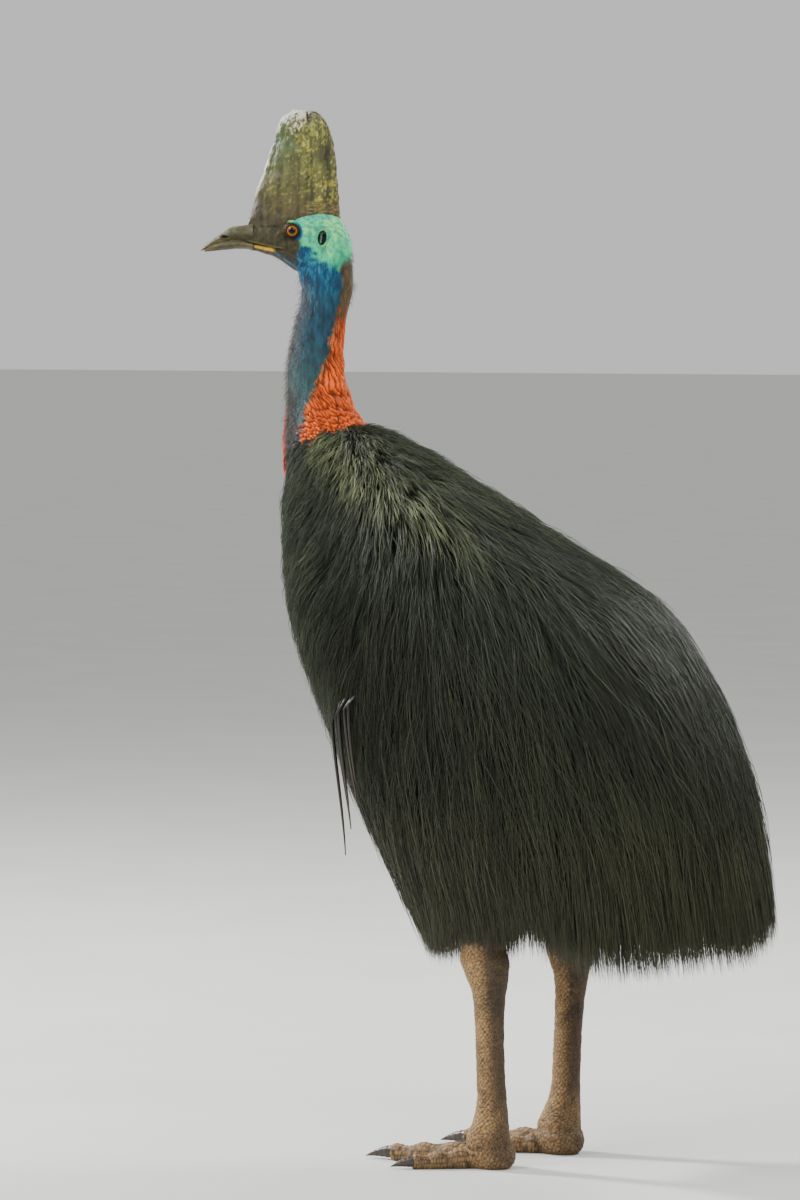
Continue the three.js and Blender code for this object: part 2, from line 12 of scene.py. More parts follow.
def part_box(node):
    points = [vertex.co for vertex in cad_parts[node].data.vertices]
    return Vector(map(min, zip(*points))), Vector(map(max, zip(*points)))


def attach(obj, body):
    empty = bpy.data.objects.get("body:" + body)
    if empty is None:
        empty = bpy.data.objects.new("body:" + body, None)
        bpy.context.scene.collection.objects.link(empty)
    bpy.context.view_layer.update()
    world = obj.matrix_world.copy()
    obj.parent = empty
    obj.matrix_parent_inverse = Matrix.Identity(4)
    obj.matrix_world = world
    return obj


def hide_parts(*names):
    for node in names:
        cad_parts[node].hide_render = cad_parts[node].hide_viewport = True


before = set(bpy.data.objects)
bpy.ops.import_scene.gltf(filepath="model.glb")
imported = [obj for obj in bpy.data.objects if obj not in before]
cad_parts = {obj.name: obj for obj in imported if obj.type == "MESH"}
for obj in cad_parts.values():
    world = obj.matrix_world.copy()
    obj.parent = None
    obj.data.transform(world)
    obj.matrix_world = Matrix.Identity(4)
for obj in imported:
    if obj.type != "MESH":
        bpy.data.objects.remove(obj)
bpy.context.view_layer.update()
mm = 0.001
sides = {"left": -1, "right": 1}

# Where the bird's own middle plane and floor point lie in the frame, found from the two eyes
stance = {"eyeMiddle": (-0.38403, -0.02394, 1.356), "headTurn": math.radians(28)}
eyeBoxes = [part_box("eye_left"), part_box("eye_right")]
eyeMiddle = np.mean([list(corner) for pair in eyeBoxes for corner in pair], axis=0)
shift = eyeMiddle - np.array(stance["eyeMiddle"])
print("frame loaded, shift", np.round(shift, 4))


# Small helpers

def track(rows, scale=1.0):
    # smooth curve through a station table, led by its first column
    table = np.array(sorted(rows), dtype=float) * scale
    place, values = table[:, 0], table[:, 1:]
    slopes = np.empty_like(values)
    slopes[1:-1] = (values[2:] - values[:-2]) / (place[2:] - place[:-2])[:, None]
    slopes[0] = (values[1] - values[0]) / (place[1] - place[0])
    slopes[-1] = (values[-1] - values[-2]) / (place[-1] - place[-2])

    def at(where):
        where = np.atleast_1d(np.asarray(where, dtype=float))
        i = np.clip(np.searchsorted(place, where, side="right") - 1, 0, len(place) - 2)
        span = place[i + 1] - place[i]
        t = np.clip((where - place[i]) / span, 0, 1)[:, None]
        start, end = values[i], values[i + 1]
        rise = (2 * t**3 - 3 * t**2 + 1) * start + (3 * t**2 - 2 * t**3) * end
        lean = (t**3 - 2 * t**2 + t) * slopes[i] + (t**3 - t**2) * slopes[i + 1]
        return rise + lean * span[:, None]

    return at


def smooth(value, low, high):
    t = np.clip((value - low) / (high - low), 0, 1)
    return t * t * (3 - 2 * t)


def bell(value, middle, width):
    return np.exp(-(((value - middle) / width) ** 2))


def through(table, value):
    # straight lines through the rows of a table
    return np.interp(value, *zip(*table))


def tone(red, green, blue, vary=None):
    # display colour 0-255 to the linear values that shaders take, and how much it varies by point
    c = np.array([red, green, blue]) / 255
    linear = np.where(c < 0.04045, c / 12.92, ((c + 0.055) / 1.055) ** 2.4)
    return linear if vary is None else linear * (1 + vary)[:, None]


def unit(vectors):
    return vectors / np.maximum(np.linalg.norm(vectors, axis=-1, keepdims=True), 1e-9)


def ovalRing(centre, halfSide, halfUp, count, side=(-1, 0, 0), up=(0, -1, 0), fullness=2.0):
    # lies flat unless told otherwise
    angle = np.arange(count) / count * 2 * math.pi
    c, s = np.cos(angle), np.sin(angle)
    across = np.sign(c) * np.abs(c) ** (2 / fullness) * halfSide
    above = np.sign(s) * np.abs(s) ** (2 / fullness) * halfUp
    return np.array(centre) + np.outer(across, side) + np.outer(above, up)


def newObject(name, data):
    obj = bpy.data.objects.new(name, data)
    bpy.context.collection.objects.link(obj)
    return obj


def makeObject(name, points, faces):
    mesh = bpy.data.meshes.new(name)
    mesh.from_pydata([tuple(p) for p in points], [], faces)
    return newObject(name, mesh)


def loft(name, rings):
    # closed skin over a row of rings, with a fan over each end
    rings = np.array(rings)
    count, sides = rings.shape[:2]
    points = list(rings.reshape(-1, 3)) + [rings[0].mean(0), rings[-1].mean(0)]
    faces = []
    for r in range(count - 1):
        for k in range(sides):
            a, b = r * sides + k, r * sides + (k + 1) % sides
            faces.append((a, b, b + sides, a + sides))
    first, last, lastRing = count * sides, count * sides + 1, (count - 1) * sides
    for k in range(sides):
        following = (k + 1) % sides
        faces.append((first, following, k))
        faces.append((last, lastRing + k, lastRing + following))
    obj = makeObject(name, points, faces)
    outwardFaces(obj)
    return obj


def outwardFaces(obj):
    mesh = bmesh.new()
    mesh.from_mesh(obj.data)
    bmesh.ops.remove_doubles(mesh, verts=mesh.verts, dist=1e-6)
    bmesh.ops.recalc_face_normals(mesh, faces=mesh.faces)
    mesh.to_mesh(obj.data)
    mesh.free()


def joined(name, objects):
    mesh = bmesh.new()
    for obj in objects:
        mesh.from_mesh(obj.data)
        bpy.data.objects.remove(obj)
    data = bpy.data.meshes.new(name)
    mesh.to_mesh(data)
    mesh.free()
    return newObject(name, data)


def asPlainMesh(obj):
    # what the modifiers make becomes the piece's own mesh
    bpy.context.view_layer.update()
    depsgraph = bpy.context.evaluated_depsgraph_get()
    made = bpy.data.meshes.new_from_object(obj.evaluated_get(depsgraph))
    obj.modifiers.clear()
    obj.data = made
    made.name = obj.name


def oneSkin(obj, voxel, rounds):
    remesh = obj.modifiers.new("one skin", "REMESH")
    remesh.mode = "VOXEL"
    remesh.voxel_size = voxel
    relax = obj.modifiers.new("relax", "SMOOTH")
    relax.iterations = rounds
    relax.factor = 0.5
    asPlainMesh(obj)


def getPoints(obj):
    points = np.empty(len(obj.data.vertices) * 3)
    obj.data.vertices.foreach_get("co", points)
    return points.reshape(-1, 3)


def setPoints(obj, points):
    obj.data.vertices.foreach_set("co", np.ascontiguousarray(points, dtype=np.float32).ravel())
    obj.data.update()


def getNormals(obj):
    normals = np.empty(len(obj.data.vertices) * 3)
    obj.data.vertex_normals.foreach_get("vector", normals)
    return normals.reshape(-1, 3)


def lifted(points, normals, lift):
    return points + normals * (lift * mm)[:, None]


def paint(obj, name, colours, least=0.001):
    layer = obj.data.attributes.new(name, "FLOAT_COLOR", "POINT")
    packed = np.ones((len(colours), 4), dtype=np.float32)
    packed[:, :3] = np.clip(colours, least, 1)
    layer.data.foreach_set("color", packed.ravel())


def over(colours, *layers):
    # lays one colour after the other over the first, each where its mask is 1
    for mask, top in layers:
        mask = np.clip(mask, 0, 1)[..., None]
        colours = colours * (1 - mask) + top * mask
    return colours


def waves(points, size, seed, octaves=3):
    # soft, seeded random field from sums of sines, between about -1 and 1
    draw = np.random.default_rng(seed)
    total = np.zeros(len(points))
    weight = 1.0
    for _ in range(octaves):
        for _ in range(5):
            direction = draw.normal(size=3)
            direction *= (0.7 + 0.6 * draw.random()) / np.linalg.norm(direction)
            total += weight * np.sin(points @ direction * (2 * math.pi / size) + draw.random() * 6.28) / 3
        weight *= 0.55
        size *= 0.47
    return total


def grain(points, size, seed, octaves=4, stretch=(1, 1, 1)):
    # natural looking random field, about -1 to 1, with its size in mm
    offset = Vector((seed * 3.7, seed * 5.3, seed * 7.9))
    scaled = np.asarray(points) * np.array(stretch) / (size * mm)
    return np.array([noise.fractal(Vector(p) + offset, 0.9, 2.1, octaves) for p in scaled]) * 1.6


def cells(points, seeds):
    # distances to the nearest two seeds, and which seed is nearest
    tree = kdtree.KDTree(len(seeds))
    for i, seed in enumerate(seeds):
        tree.insert(seed, i)
    tree.balance()
    near = np.empty((len(points), 3))
    for i, point in enumerate(points):
        found = tree.find_n(point, 2)
        near[i] = found[0][2], found[1][2], found[0][1]
    return near[:, 0], near[:, 1], near[:, 2].astype(int)


def finishPiece(obj, nodes, material):
    obj.data.materials.clear()
    obj.data.materials.append(material)
    obj.data.polygons.foreach_set("use_smooth", np.ones(len(obj.data.polygons), dtype=bool))
    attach(obj, "root")
    if nodes:
        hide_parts(*nodes)
    print("piece", obj.name, len(obj.data.polygons), "faces")


# Materials

class Finish:
    # one Principled surface, with shared coordinates to hang textures on
    def __init__(self, name, roughness, **constants):
        self.material = bpy.data.materials.new(name)
        self.material.use_nodes = True
        self.nodes = self.material.node_tree.nodes
        self.links = self.material.node_tree.links
        self.shader = self.nodes["Principled BSDF"]
        self.shader.inputs["Roughness"].default_value = roughness
        for socket, value in constants.items():
            self.shader.inputs[socket.replace("_", " ")].default_value = value
        self.place = self.nodes.new("ShaderNodeTexCoord").outputs["Object"]

    def link(self, output, target):
        self.links.new(output, target)

    def stretched(self, scale):
        mapping = self.nodes.new("ShaderNodeMapping")
        mapping.inputs["Scale"].default_value = scale
        self.link(self.place, mapping.inputs["Vector"])
        return mapping.outputs["Vector"]

    def noise(self, scale, detail=4.0, vector=None):
        texture = self.nodes.new("ShaderNodeTexNoise")
        for socket, value in (("Scale", scale), ("Detail", detail), ("Roughness", 0.55)):
            texture.inputs[socket].default_value = value
        self.link(vector or self.place, texture.inputs["Vector"])
        return texture.outputs["Fac"]

    def voronoi(self, scale, vector=None):
        texture = self.nodes.new("ShaderNodeTexVoronoi")
        texture.inputs["Scale"].default_value = scale
        self.link(vector or self.place, texture.inputs["Vector"])
        return texture.outputs["Distance"]

    def ramp(self, factor, stops):
        # each stop is a place and a colour, or one number for a grey
        node = self.nodes.new("ShaderNodeValToRGB")
        elements = node.color_ramp.elements
        while len(elements) < len(stops):
            elements.new(0.5)
        for element, (where, colour) in zip(elements, stops):
            element.position = where
            element.color = (*np.broadcast_to(colour, 3), 1)
        self.link(factor, node.inputs["Fac"])
        return node.outputs["Color"]

    def attribute(self, name):
        node = self.nodes.new("ShaderNodeAttribute")
        node.attribute_name = name
        return node.outputs["Color"]

    def multiplied(self, base, amount, factor, stops):
        # the base darkened or brightened through a ramp
        node = self.nodes.new("ShaderNodeMix")
        node.data_type = "RGBA"
        node.blend_type = "MULTIPLY"
        node.inputs[0].default_value = amount
        self.link(base, node.inputs[6])
        self.link(self.ramp(factor, stops), node.inputs[7])
        return node.outputs[2]

    def add(self, first, second, weight=1.0):
        node = self.nodes.new("ShaderNodeMath")
        node.operation = "MULTIPLY_ADD"
        self.link(second, node.inputs[0])
        node.inputs[1].default_value = weight
        self.link(first, node.inputs[2])
        return node.outputs[0]

    def colour(self, output):
        self.link(output, self.shader.inputs["Base Color"])

    def rough(self, value, smoothest, roughest):
        # roughness follows the middle of a texture's range
        node = self.nodes.new("ShaderNodeMapRange")
        for socket, number in zip(node.inputs[1:5], (0.3, 0.7, smoothest, roughest)):
            socket.default_value = number
        self.link(value, node.inputs[0])
        self.link(node.outputs[0], self.shader.inputs["Roughness"])

    def bump(self, height, distance, strength=1.0):
        node = self.nodes.new("ShaderNodeBump")
        node.inputs["Strength"].default_value = strength
        node.inputs["Distance"].default_value = distance
        self.link(height, node.inputs["Height"])
        self.link(node.outputs["Normal"], self.shader.inputs["Normal"])


# Camera, floor and light

view = {
    "place": (3.756, -7.064, 1.25), "aim": (-0.1664, -0.0885, 0.819),
    "lens": 165.5, "sensor": 36.0,
}
lit = (0, 0, 0.8)
acrossView = (0.872, 0.49)  # how much of the frame's x and y the picture shows sideways


def aimed(place, target):
    return (Vector(target) - Vector(place)).to_track_quat("-Z", "Y").to_euler()


cameraData = bpy.data.cameras.new("camera")
cameraData.lens = view["lens"]
cameraData.sensor_width = view["sensor"]
camera = newObject("camera", cameraData)
camera.location = Vector(np.array(view["place"]) + shift)
camera.rotation_euler = aimed(view["place"], view["aim"])
bpy.context.scene.camera = camera

floorHalf = 80
corners = [(floorHalf * x, floorHalf * y, 0) for x, y in ((-1, -1), (1, -1), (1, 1), (-1, 1))]
ground = makeObject("floor", corners, [(0, 1, 2, 3)])
pale = Finish("pale floor", 0.85)
pale.colour(pale.ramp(pale.noise(3.0, 2.0), [(0.3, (0.62, 0.62, 0.60)), (0.7, (0.66, 0.66, 0.64))]))
ground.data.materials.append(pale.material)

lamps = {  # place relative to the bird, size, power
    "window": ((-1.6, -3.6, 4.2), 2.2, 170),
    "sky fill": ((3.4, -2.6, 4.4), 3.0, 110),
    "back light": ((1.6, 3.2, 3.8), 1.4, 170),
    "low sun": ((-4.4, -0.2, 3.6), 0.6, 420),
}
for name, (place, size, power) in lamps.items():
    lampData = bpy.data.lights.new(name, "AREA")
    lampData.size = size
    lampData.energy = power
    lamp = newObject(name, lampData)
    lamp.location = place
    lamp.rotation_euler = aimed(place, lit)
world = bpy.data.worlds.new("studio")
world.use_nodes = True
world.node_tree.nodes["Background"].inputs["Color"].default_value = (0.90, 0.92, 0.90, 1)
world.node_tree.nodes["Background"].inputs["Strength"].default_value = 0.75
bpy.context.scene.world = world

# Head and neck

head = {
    # along the head from the eye (mm): crown, chin, half width
    "stations": [(-67, 8, -26, 17.5), (-46, 11, -32, 23), (-25, 14, -39, 28), (0, 21, -56, 31.5),
                 (25, 29, -66, 35), (50, 28, -72, 36), (70, 18, -74, 33), (81, -2, -72, 26),
                 (87, -24, -60, 14)],
    # height over the eye: throat, nape, half width where the skull runs into the neck
    "nape": [(-88, 14, 88, 35), (-78, 11.5, 88, 35.5), (-66, 8, 88, 36), (-52, 12, 87.5, 36),
             (-38, 30, 87, 35), (-20, 46, 82, 30)],
    "skinVoxel": 1.4,
    "eyeOut": 19.5, "eyeRadius": 14, "lidOpen": 8.1, "lidEdge": 11.6, "lidThick": 1.5, "lidEnd": 18,
    "earPlace": (44.5, -10.5), "earReach": (6.8, 11.6), "earDeep": 8,
}
neck = {
    # height: axis, half depth, half width, turn towards the head
    "stations": [(990, -300, 84, 84, 0), (1040, -329, 68, 66, 0), (1073, -344, 56, 54, 0),
                 (1096, -351, 49, 47, 0), (1119, -355, 45, 43, 2), (1144, -359, 42, 40, 6),
                 (1164, -359, 40, 38, 10), (1188, -356, 38, 36, 16), (1222, -350, 36, 34.5, 22),
                 (1241, -345, 36, 34.5, 26), (1272, -339, 37, 35, 28), (1290, -339, 37, 35, 28)],
    # height: how far round from the nape the orange patch reaches (degrees)
    "patch": [(1060, 112), (1073, 102), (1096, 86), (1119, 72), (1141, 60), (1164, 53), (1188, 49),
              (1215, 47), (1234, 48), (1255, 54), (1285, 56), (1317, 48), (1330, 36)],
    "bottom": 1000,
}
neckAt = track(neck["stations"], (mm, mm, mm, mm, math.pi / 180))
headTurn = stance["headTurn"]
headForward = np.array([-math.cos(headTurn), -math.sin(headTurn), 0])
headLeft = np.array([math.sin(headTurn), -math.cos(headTurn), 0])


def fromHead(points):
    # head's own axes (x back from the bill, y to the right, z up from the eye) to the frame
    points = np.asarray(points, dtype=float)
    return eyeMiddle + np.outer(points[:, 0], -headForward) + np.outer(points[:, 1], -headLeft) \
        + np.outer(points[:, 2], (0, 0, 1))


def toHead(points):
    offset = points - eyeMiddle
    return np.stack([-offset @ headForward, -offset @ headLeft, offset[:, 2]], axis=1)


def lengthwise(name, rows, start, end, count, around):
    at = track(rows, mm)
    rings = []
    for x in np.linspace(start, end, count) * mm:
        top, bottom, half = at(x)[0]
        rings.append(fromHead(ovalRing((x, 0, (top + bottom) / 2), half, (top - bottom) / 2, around,
                                       (0, -1, 0), (0, 0, 1))))
    return loft(name, rings)


def neckRings(low, high, count, around):
    rings = []
    for z in np.linspace(low, high, count) * mm:
        x, halfDepth, halfWidth, turn = neckAt(z)[0]
        ahead = np.array([-math.cos(turn), -math.sin(turn), 0])
        aside = np.array([math.sin(turn), -math.cos(turn), 0])
        rings.append(ovalRing(np.array((x, 0, z)) + shift, halfDepth, halfWidth, around, ahead, aside))
    return rings


def headNeckSkin():
    face = lengthwise("face", head["stations"], -70, 87, 40, 48)
    napeAt = track(head["nape"], mm)
    napeRings = []
    for z in np.linspace(-88, -20, 20) * mm:
        throat, back, half = napeAt(z)[0]
        napeRings.append(fromHead(ovalRing(((throat + back) / 2, 0, z), (back - throat) / 2, half, 48)))
    nape = loft("nape", napeRings)
    column = loft("column", neckRings(neck["bottom"], 1276, 40, 48))
    skin = joined("skin_head_neck", [face, nape, column])
    oneSkin(skin, head["skinVoxel"] * mm, 14)

    # finer faces round the eyes and ears, where the lids and the ear's rim need them
    mesh = bmesh.new()
    mesh.from_mesh(skin.data)
    local = toHead(np.array([v.co for v in mesh.verts]))
    earX, earZ = np.array(head["earPlace"]) * mm
    nearEye = np.hypot(local[:, 0], local[:, 2]) < 15 * mm
    nearEar = np.hypot(local[:, 0] - earX, local[:, 2] - earZ) < 15 * mm
    wanted = (nearEye | nearEar) & (np.abs(local[:, 1]) > 10 * mm)
    edges = [e for e in mesh.edges if wanted[e.verts[0].index] and wanted[e.verts[1].index]]
    bmesh.ops.subdivide_edges(mesh, edges=edges, cuts=1, use_grid_fill=True)
    mesh.to_mesh(skin.data)
    mesh.free()
    return skin


def neckCoordinates(points):
    # how far round from the nape (degrees, 180 at the throat), and the height without the shift
    own = points - shift
    x, _, _, turn = neckAt(own[:, 2]).T
    offset = own[:, :2] - np.stack([x, np.zeros_like(x)], axis=1)
    hind = np.stack([np.cos(turn), np.sin(turn)], axis=1)
    aside = np.stack([-np.sin(turn), np.cos(turn)], axis=1)
    around = np.degrees(np.arctan2(np.sum(offset * aside, 1), np.sum(offset * hind, 1)))
    return around, own[:, 2]


def shapeHead(skin):
    points = getPoints(skin)
    normals = getNormals(skin)
    local = toHead(points)
    x, y, z = local.T / mm
    side = np.sign(y)

    # loose wrinkled skin on the cheek, the nape and down the neck
    around, height = neckCoordinates(points)
    height = height / mm
    wrinkles = grain(local, 11, 3, 3, stretch=(1, 1, 0.35))
    fine = grain(local, 4.5, 4, 2, stretch=(1, 1, 0.5))
    lift = 0.35 * wrinkles + 0.16 * fine
    cheek = smooth(x, 2, 20) * smooth(-z, 20, 34) * smooth(-z, 120, 60)
    lift += cheek * 1.2 * grain(local, 12, 5, 2, stretch=(1, 1, 0.4))

    # throat fold where the jaw meets the neck, and a ridge along the jaw
    jaw = np.interp(x, [-67, -40, -10, 20, 45], [-25, -31, -41, -58, -74])
    jawLine = bell(z - jaw, 7, 3.2) * smooth(x, -60, -45) * smooth(-x, -34, -14)
    lift -= 1.1 * jawLine

    # brow over the eye
    brow = bell(z, 17, 5) * smooth(x, -26, -10) * smooth(-x, -26, -8) * (np.abs(y) > 12)
    lift += 1.6 * brow
    points = lifted(points, normals, lift)

    # mouth line runs back from the bill to below the eye, with a soft lip on each side
    mouth = np.interp(x, [-70, -55, -40, -25, -12], [-16.5, -20, -23.5, -26.5, -28.5])
    away = z - mouth
    mouthHere = smooth(x, -74, -66) * smooth(-x, 10, 17)
    groove = -2.2 * bell(away, 0, 1.1) + 0.8 * bell(away, 2.8, 1.6) + 0.9 * bell(away, -3.2, 1.8)
    points = lifted(points, normals, groove * mouthHere)

    # lids: a ring that hugs the eyeball, open over the iris
    eyeOut, eyeRadius = head["eyeOut"], head["eyeRadius"]
    reach = np.hypot(x * 0.97 + 0.08 * z, z * 1.03)
    onEye = (reach < head["lidEnd"]) & (np.abs(y) > 12)
    lid = eyeOut + np.sqrt(np.maximum((eyeRadius + head["lidThick"]) ** 2 - reach**2, 0))
    lid += 0.45 * bell(reach - head["lidOpen"], 1.0, 0.8)
    lid -= 0.35 * bell(reach, 10.6, 0.5)
    lid = np.where(reach < head["lidOpen"], eyeOut + 9.0, lid)
    blend = smooth(reach, head["lidEdge"], head["lidEnd"])
    own = toHead(points)
    flat = np.abs(own[:, 1]) / mm
    target = np.where(blend > 0, lid * (1 - blend) + flat * blend, lid)
    own[:, 1] = np.where(onEye, side * target * mm, own[:, 1])

    # ear: an open cup with a raised rim and a small fold inside it
    earX, earZ = head["earPlace"]
    lean = 0.16
    ex = (x - earX) * math.cos(lean) - (z - earZ) * math.sin(lean)
    ez = (x - earX) * math.sin(lean) + (z - earZ) * math.cos(lean)
    cup = np.hypot(ex / head["earReach"][0], ez / head["earReach"][1])
    deep = head["earDeep"] * (1 - smooth(cup, 0.35, 1.0))
    deep -= 3.4 * bell(ex + 0.25 * ez, -1.6, 1.3) * (cup < 0.8)
    rim = bell(cup, 1.16, 0.16)
    onEar = (np.abs(y) > 15) & (cup < 2.2)
    own[:, 1] -= np.where(onEar, side * (deep - rim) * mm, 0)
    points = fromHead(own)

    # caruncles: long leaning folds above, beads below, on the patch behind the neck
    edge = through(neck["patch"], height)
    ragged = 7 * grain(points, 16, 8, 2, stretch=(1, 1, 0.7))
    onPatch = smooth(edge - np.abs(around) + ragged, -3, 5) * smooth(-height, -1262, -1200)
    lump, gapLine = caruncleHeight(points, around, height)
    points = lifted(points, normals, onPatch * lump)
    setPoints(skin, points)

    colours = paintHead(points, (x, y, z), (around, height), gapLine, (reach, cup, ex, away, mouthHere))
    paint(skin, "skinTone", colours)


caruncle = {"across": 6.2, "long": 46, "bead": 6.2, "rise": 4.6, "lean": 0.42, "seed": 21}


def caruncleHeight(points, around, height):
    draw = np.random.default_rng(caruncle["seed"])
    radius = np.interp(height, [1073, 1119, 1188], [55, 44, 37])
    u = np.radians(np.abs(around)) * radius
    wander = grain(points, 34, 22, 2)
    kinks = grain(points, 11, 23, 2)
    sideways = u - caruncle["lean"] * (height - 1150) + 5.5 * wander + 1.6 * kinks
    # a rising measure along the folds, so that beads below and folds above share one pattern
    rows = np.linspace(1020, 1280, 261)
    steps = 1 / np.interp(rows, [1066, 1084, 1104, 1140], [caruncle["bead"], 10, 24, caruncle["long"]])
    climb = np.interp(height, rows, np.concatenate([[0], np.cumsum(steps)[:-1]]))
    pattern = np.stack([sideways / caruncle["across"], climb, np.where(around < 0, 60, 0)], axis=1)
    seeds = []
    for half in (0, 60):
        for i in range(-16, 30):
            start = draw.random()
            for j in range(-1, 24):
                place = (i + 0.8 * (draw.random() - 0.5), j + start + 0.8 * (draw.random() - 0.5), half)
                seeds.append(place)
    nearest, second, owner = cells(pattern, seeds)
    size = 0.72 + 0.5 * draw.random(len(seeds))[owner]
    edge = second - nearest
    dome = 1 - np.exp(-((edge / 0.34) ** 1.3))
    rise = np.interp(height, [1085, 1130, 1225], [0.9, 1.0, 0.45])
    return caruncle["rise"] * (dome * 1.15 * size - 0.32) * rise, edge


def paintHead(points, local, ring, gapLine, marks):
    x, y, z = local
    around, height = ring
    reach, cup, ex, away, mouthHere = marks
    turned = np.abs(around)
    outer, earSide = np.abs(y) > 12, np.abs(y) > 15
    black = tone(20, 22, 20)
    drift, speckle = grain(points, 26, 11), grain(points, 6, 12)
    streak = grain(points, 5, 13, stretch=(1, 1, 0.3))
    hair = grain(points, 2.4, 14, 3, stretch=(1, 1, 0.22))

    # the pale green crown, and the shaded front of the throat
    edgeLine = np.interp(x, [0, 12, 22, 34, 52, 66, 90], [-12, -24, -27, -37, -48, -52, -40])
    crown = smooth(z + 6 * drift + 5 * speckle + 3 * hair - edgeLine, -9, 9)
    pits = smooth(grain(points, 3.2, 15, 2), 0.72, 0.95) * crown * smooth(z, -34, 0)
    under = smooth(turned + 10 * drift, 104, 150) * smooth(-height, -1308, -1262)

    # the dark face from the bill to the eye, the mouth's corner and the ear, whose opening is painted
    # near-black as painted shade in its hollow
    front = np.interp(z, [-60, -45, -34, -26, -12, 0, 8, 13, 18], [2, 8, 12, 13, 15, 12, 5, -8, -19])
    onHead = smooth(height, 1262, 1290)
    face = smooth(front - x + 3 * drift + 2 * speckle, -2.5, 3.5) * onHead
    chin = smooth(-z, 28, 46) * smooth(-x, -16, 8) * onHead
    jawStripe = bell(z + 0.72 * (x + 24), -33, 1.5) * smooth(x, -30, -20) * smooth(-x, -8, 4)
    strip = np.exp(-(((away + 3.2) / (1.4 + 0.03 * (x + 60))) ** 4))
    strip *= smooth(x, -60, -54) * smooth(-x, 24, 31)
    lip = bell(away, 3.0, 0.9) * smooth(x, -68, -60) * smooth(-x, 8, 20)
    ear = earSide * smooth(-cup, -1.08, -0.86)
    earFold = ear * bell(ex, -1.8, 1.2) * smooth(-cup, -0.8, -0.55)
    halo = bell(cup, 1.3, 0.22) * earSide

    # brown nape, and the orange patch with its creases, which are painted dark as painted shade
    inside = through(neck["patch"], height) - turned
    hind = smooth(inside + 6 * drift + 3 * speckle, -3, 5) * smooth(height, 1326, 1300)
    glow = hind * smooth(-height - 9 * drift - 16 * streak, -1252, -1196)
    ahead = smooth(-(inside + 5 * drift + 6 * speckle), -14, -1) * smooth(height, 1080, 1110)
    warm = over(tone(228, 92, 14, 0.18 * speckle + 0.15 * drift), (ahead * 0.75, tone(112, 98, 54)))
    creaseShade = bell(gapLine, 0, 0.21) * hind * smooth(-height, -1256, -1206)
    lowFront = smooth(turned + 8 * drift, 92, 118) * smooth(-height - 8 * drift, -1136, -1090)

    cobalt = np.repeat(tone(12, 74, 108)[None], len(points), axis=0)
    return over(
        cobalt,
        (smooth(streak + 0.5 * hair, 0.0, 0.8) * 0.6, tone(40, 138, 158)),
        (smooth(-streak - 0.6 * hair, 0.0, 0.8) * 0.6, tone(10, 42, 74)),
        (crown, tone(58, 196, 138)),
        (crown * smooth(speckle + 0.5 * drift + 0.02 * z, -0.1, 0.8) * 0.65, tone(146, 232, 120)),
        (crown * smooth(-speckle - 0.3 * hair, 0.1, 0.8) * 0.6, tone(30, 140, 128)),
        (crown * bell(z, 21, 5.5) * 0.5, tone(44, 168, 158)),
        (pits * 0.7, tone(16, 84, 84)),
        (smooth(-height, -1306, -1240), tone(24, 62, 80, 0.4 * streak)),
        (smooth(-height - 12 * drift, -1222, -1120), tone(36, 66, 68, 0.28 * streak)),
        (under * 0.6, tone(32, 46, 46, 0.25 * streak)),
        (face, tone(54, 50, 28, 0.35 * speckle + 0.25 * streak)),
        (chin * 0.7, tone(30, 42, 52, 0.3 * speckle)),
        (jawStripe * (0.35 + 0.2 * speckle), tone(74, 132, 168)),
        (bell(reach, 13.6, 1.5) * smooth(x, 2, 9) * outer, tone(16, 84, 160)),
        (smooth(-reach, -13.0, -11.6) * outer, tone(40, 25, 15)),
        # painted shade: the groove of the mouth line is painted black
        (bell(away, 0, 1.0) * mouthHere * 0.9, black),
        (strip * 0.95, tone(222, 168, 34, 0.3 * speckle)),
        (lip * 0.5, tone(128, 116, 52)),
        # painted shade: the ear's opening is near-black
        (ear, tone(14, 20, 18)),
        (earFold, tone(120, 156, 140)),
        (halo * 0.55, tone(40, 122, 104)),
        (hind * smooth(height, 1190, 1236), tone(78, 60, 32, 0.4 * streak)),
        (glow, warm),
        # painted light on the tops of the caruncles, and painted shade in the creases between them
        (smooth(gapLine, 0.5, 0.95) * glow * 0.5, tone(238, 122, 34)),
        (creaseShade * 0.9, tone(70, 24, 8)),
        (lowFront, black),
    )


def skinFinish():
    skin = Finish("bare skin", 0.58, Specular_IOR_Level=0.28, Subsurface_Weight=0.06,
                  Subsurface_Scale=0.004)
    skin.shader.inputs["Subsurface Radius"].default_value = (0.6, 0.4, 0.3)
    speck = skin.noise(420, 4.0)
    pores = skin.voronoi(520)
    creases = skin.noise(110, 5.0, skin.stretched((1, 1, 0.3)))
    skin.colour(skin.multiplied(skin.attribute("skinTone"), 0.75, creases,
                                [(0.30, 0.62), (0.52, 1), (0.75, 1.14)]))
    skin.rough(speck, 0.48, 0.74)
    relief = skin.add(skin.add(creases, pores, -0.35), speck, 0.4)
    skin.bump(relief, 0.0016, 0.8)
    return skin.material


headSkin = headNeckSkin()
shapeHead(headSkin)
bareSkin = skinFinish()
finishPiece(headSkin, ["head", "neck_upper", "neck_lower"], bareSkin)

# Casque

casque = {
    # height over the eye: front edge, rear edge, half thickness
    "stations": [(-14, -70, 64, 16), (0, -72, 72, 18), (15, -66, 70, 19), (49, -56, 67, 19.5),
                 (85, -43, 64, 18.5), (126, -31, 60, 16.5), (149, -24, 54, 14.5), (164, -17, 46, 11.5),
                 (173, -8, 36, 8), (177, 2, 24, 3)],
    "sides": 160, "fullness": 1.85, "splitAt": 22, "splitWide": 1.7, "splitFoot": 146,
    # rings up to the start of the rounded cap, and over it to the top
    "foot": -14, "rings": 100, "capFoot": 160, "capTall": 17, "capRings": 30,
}


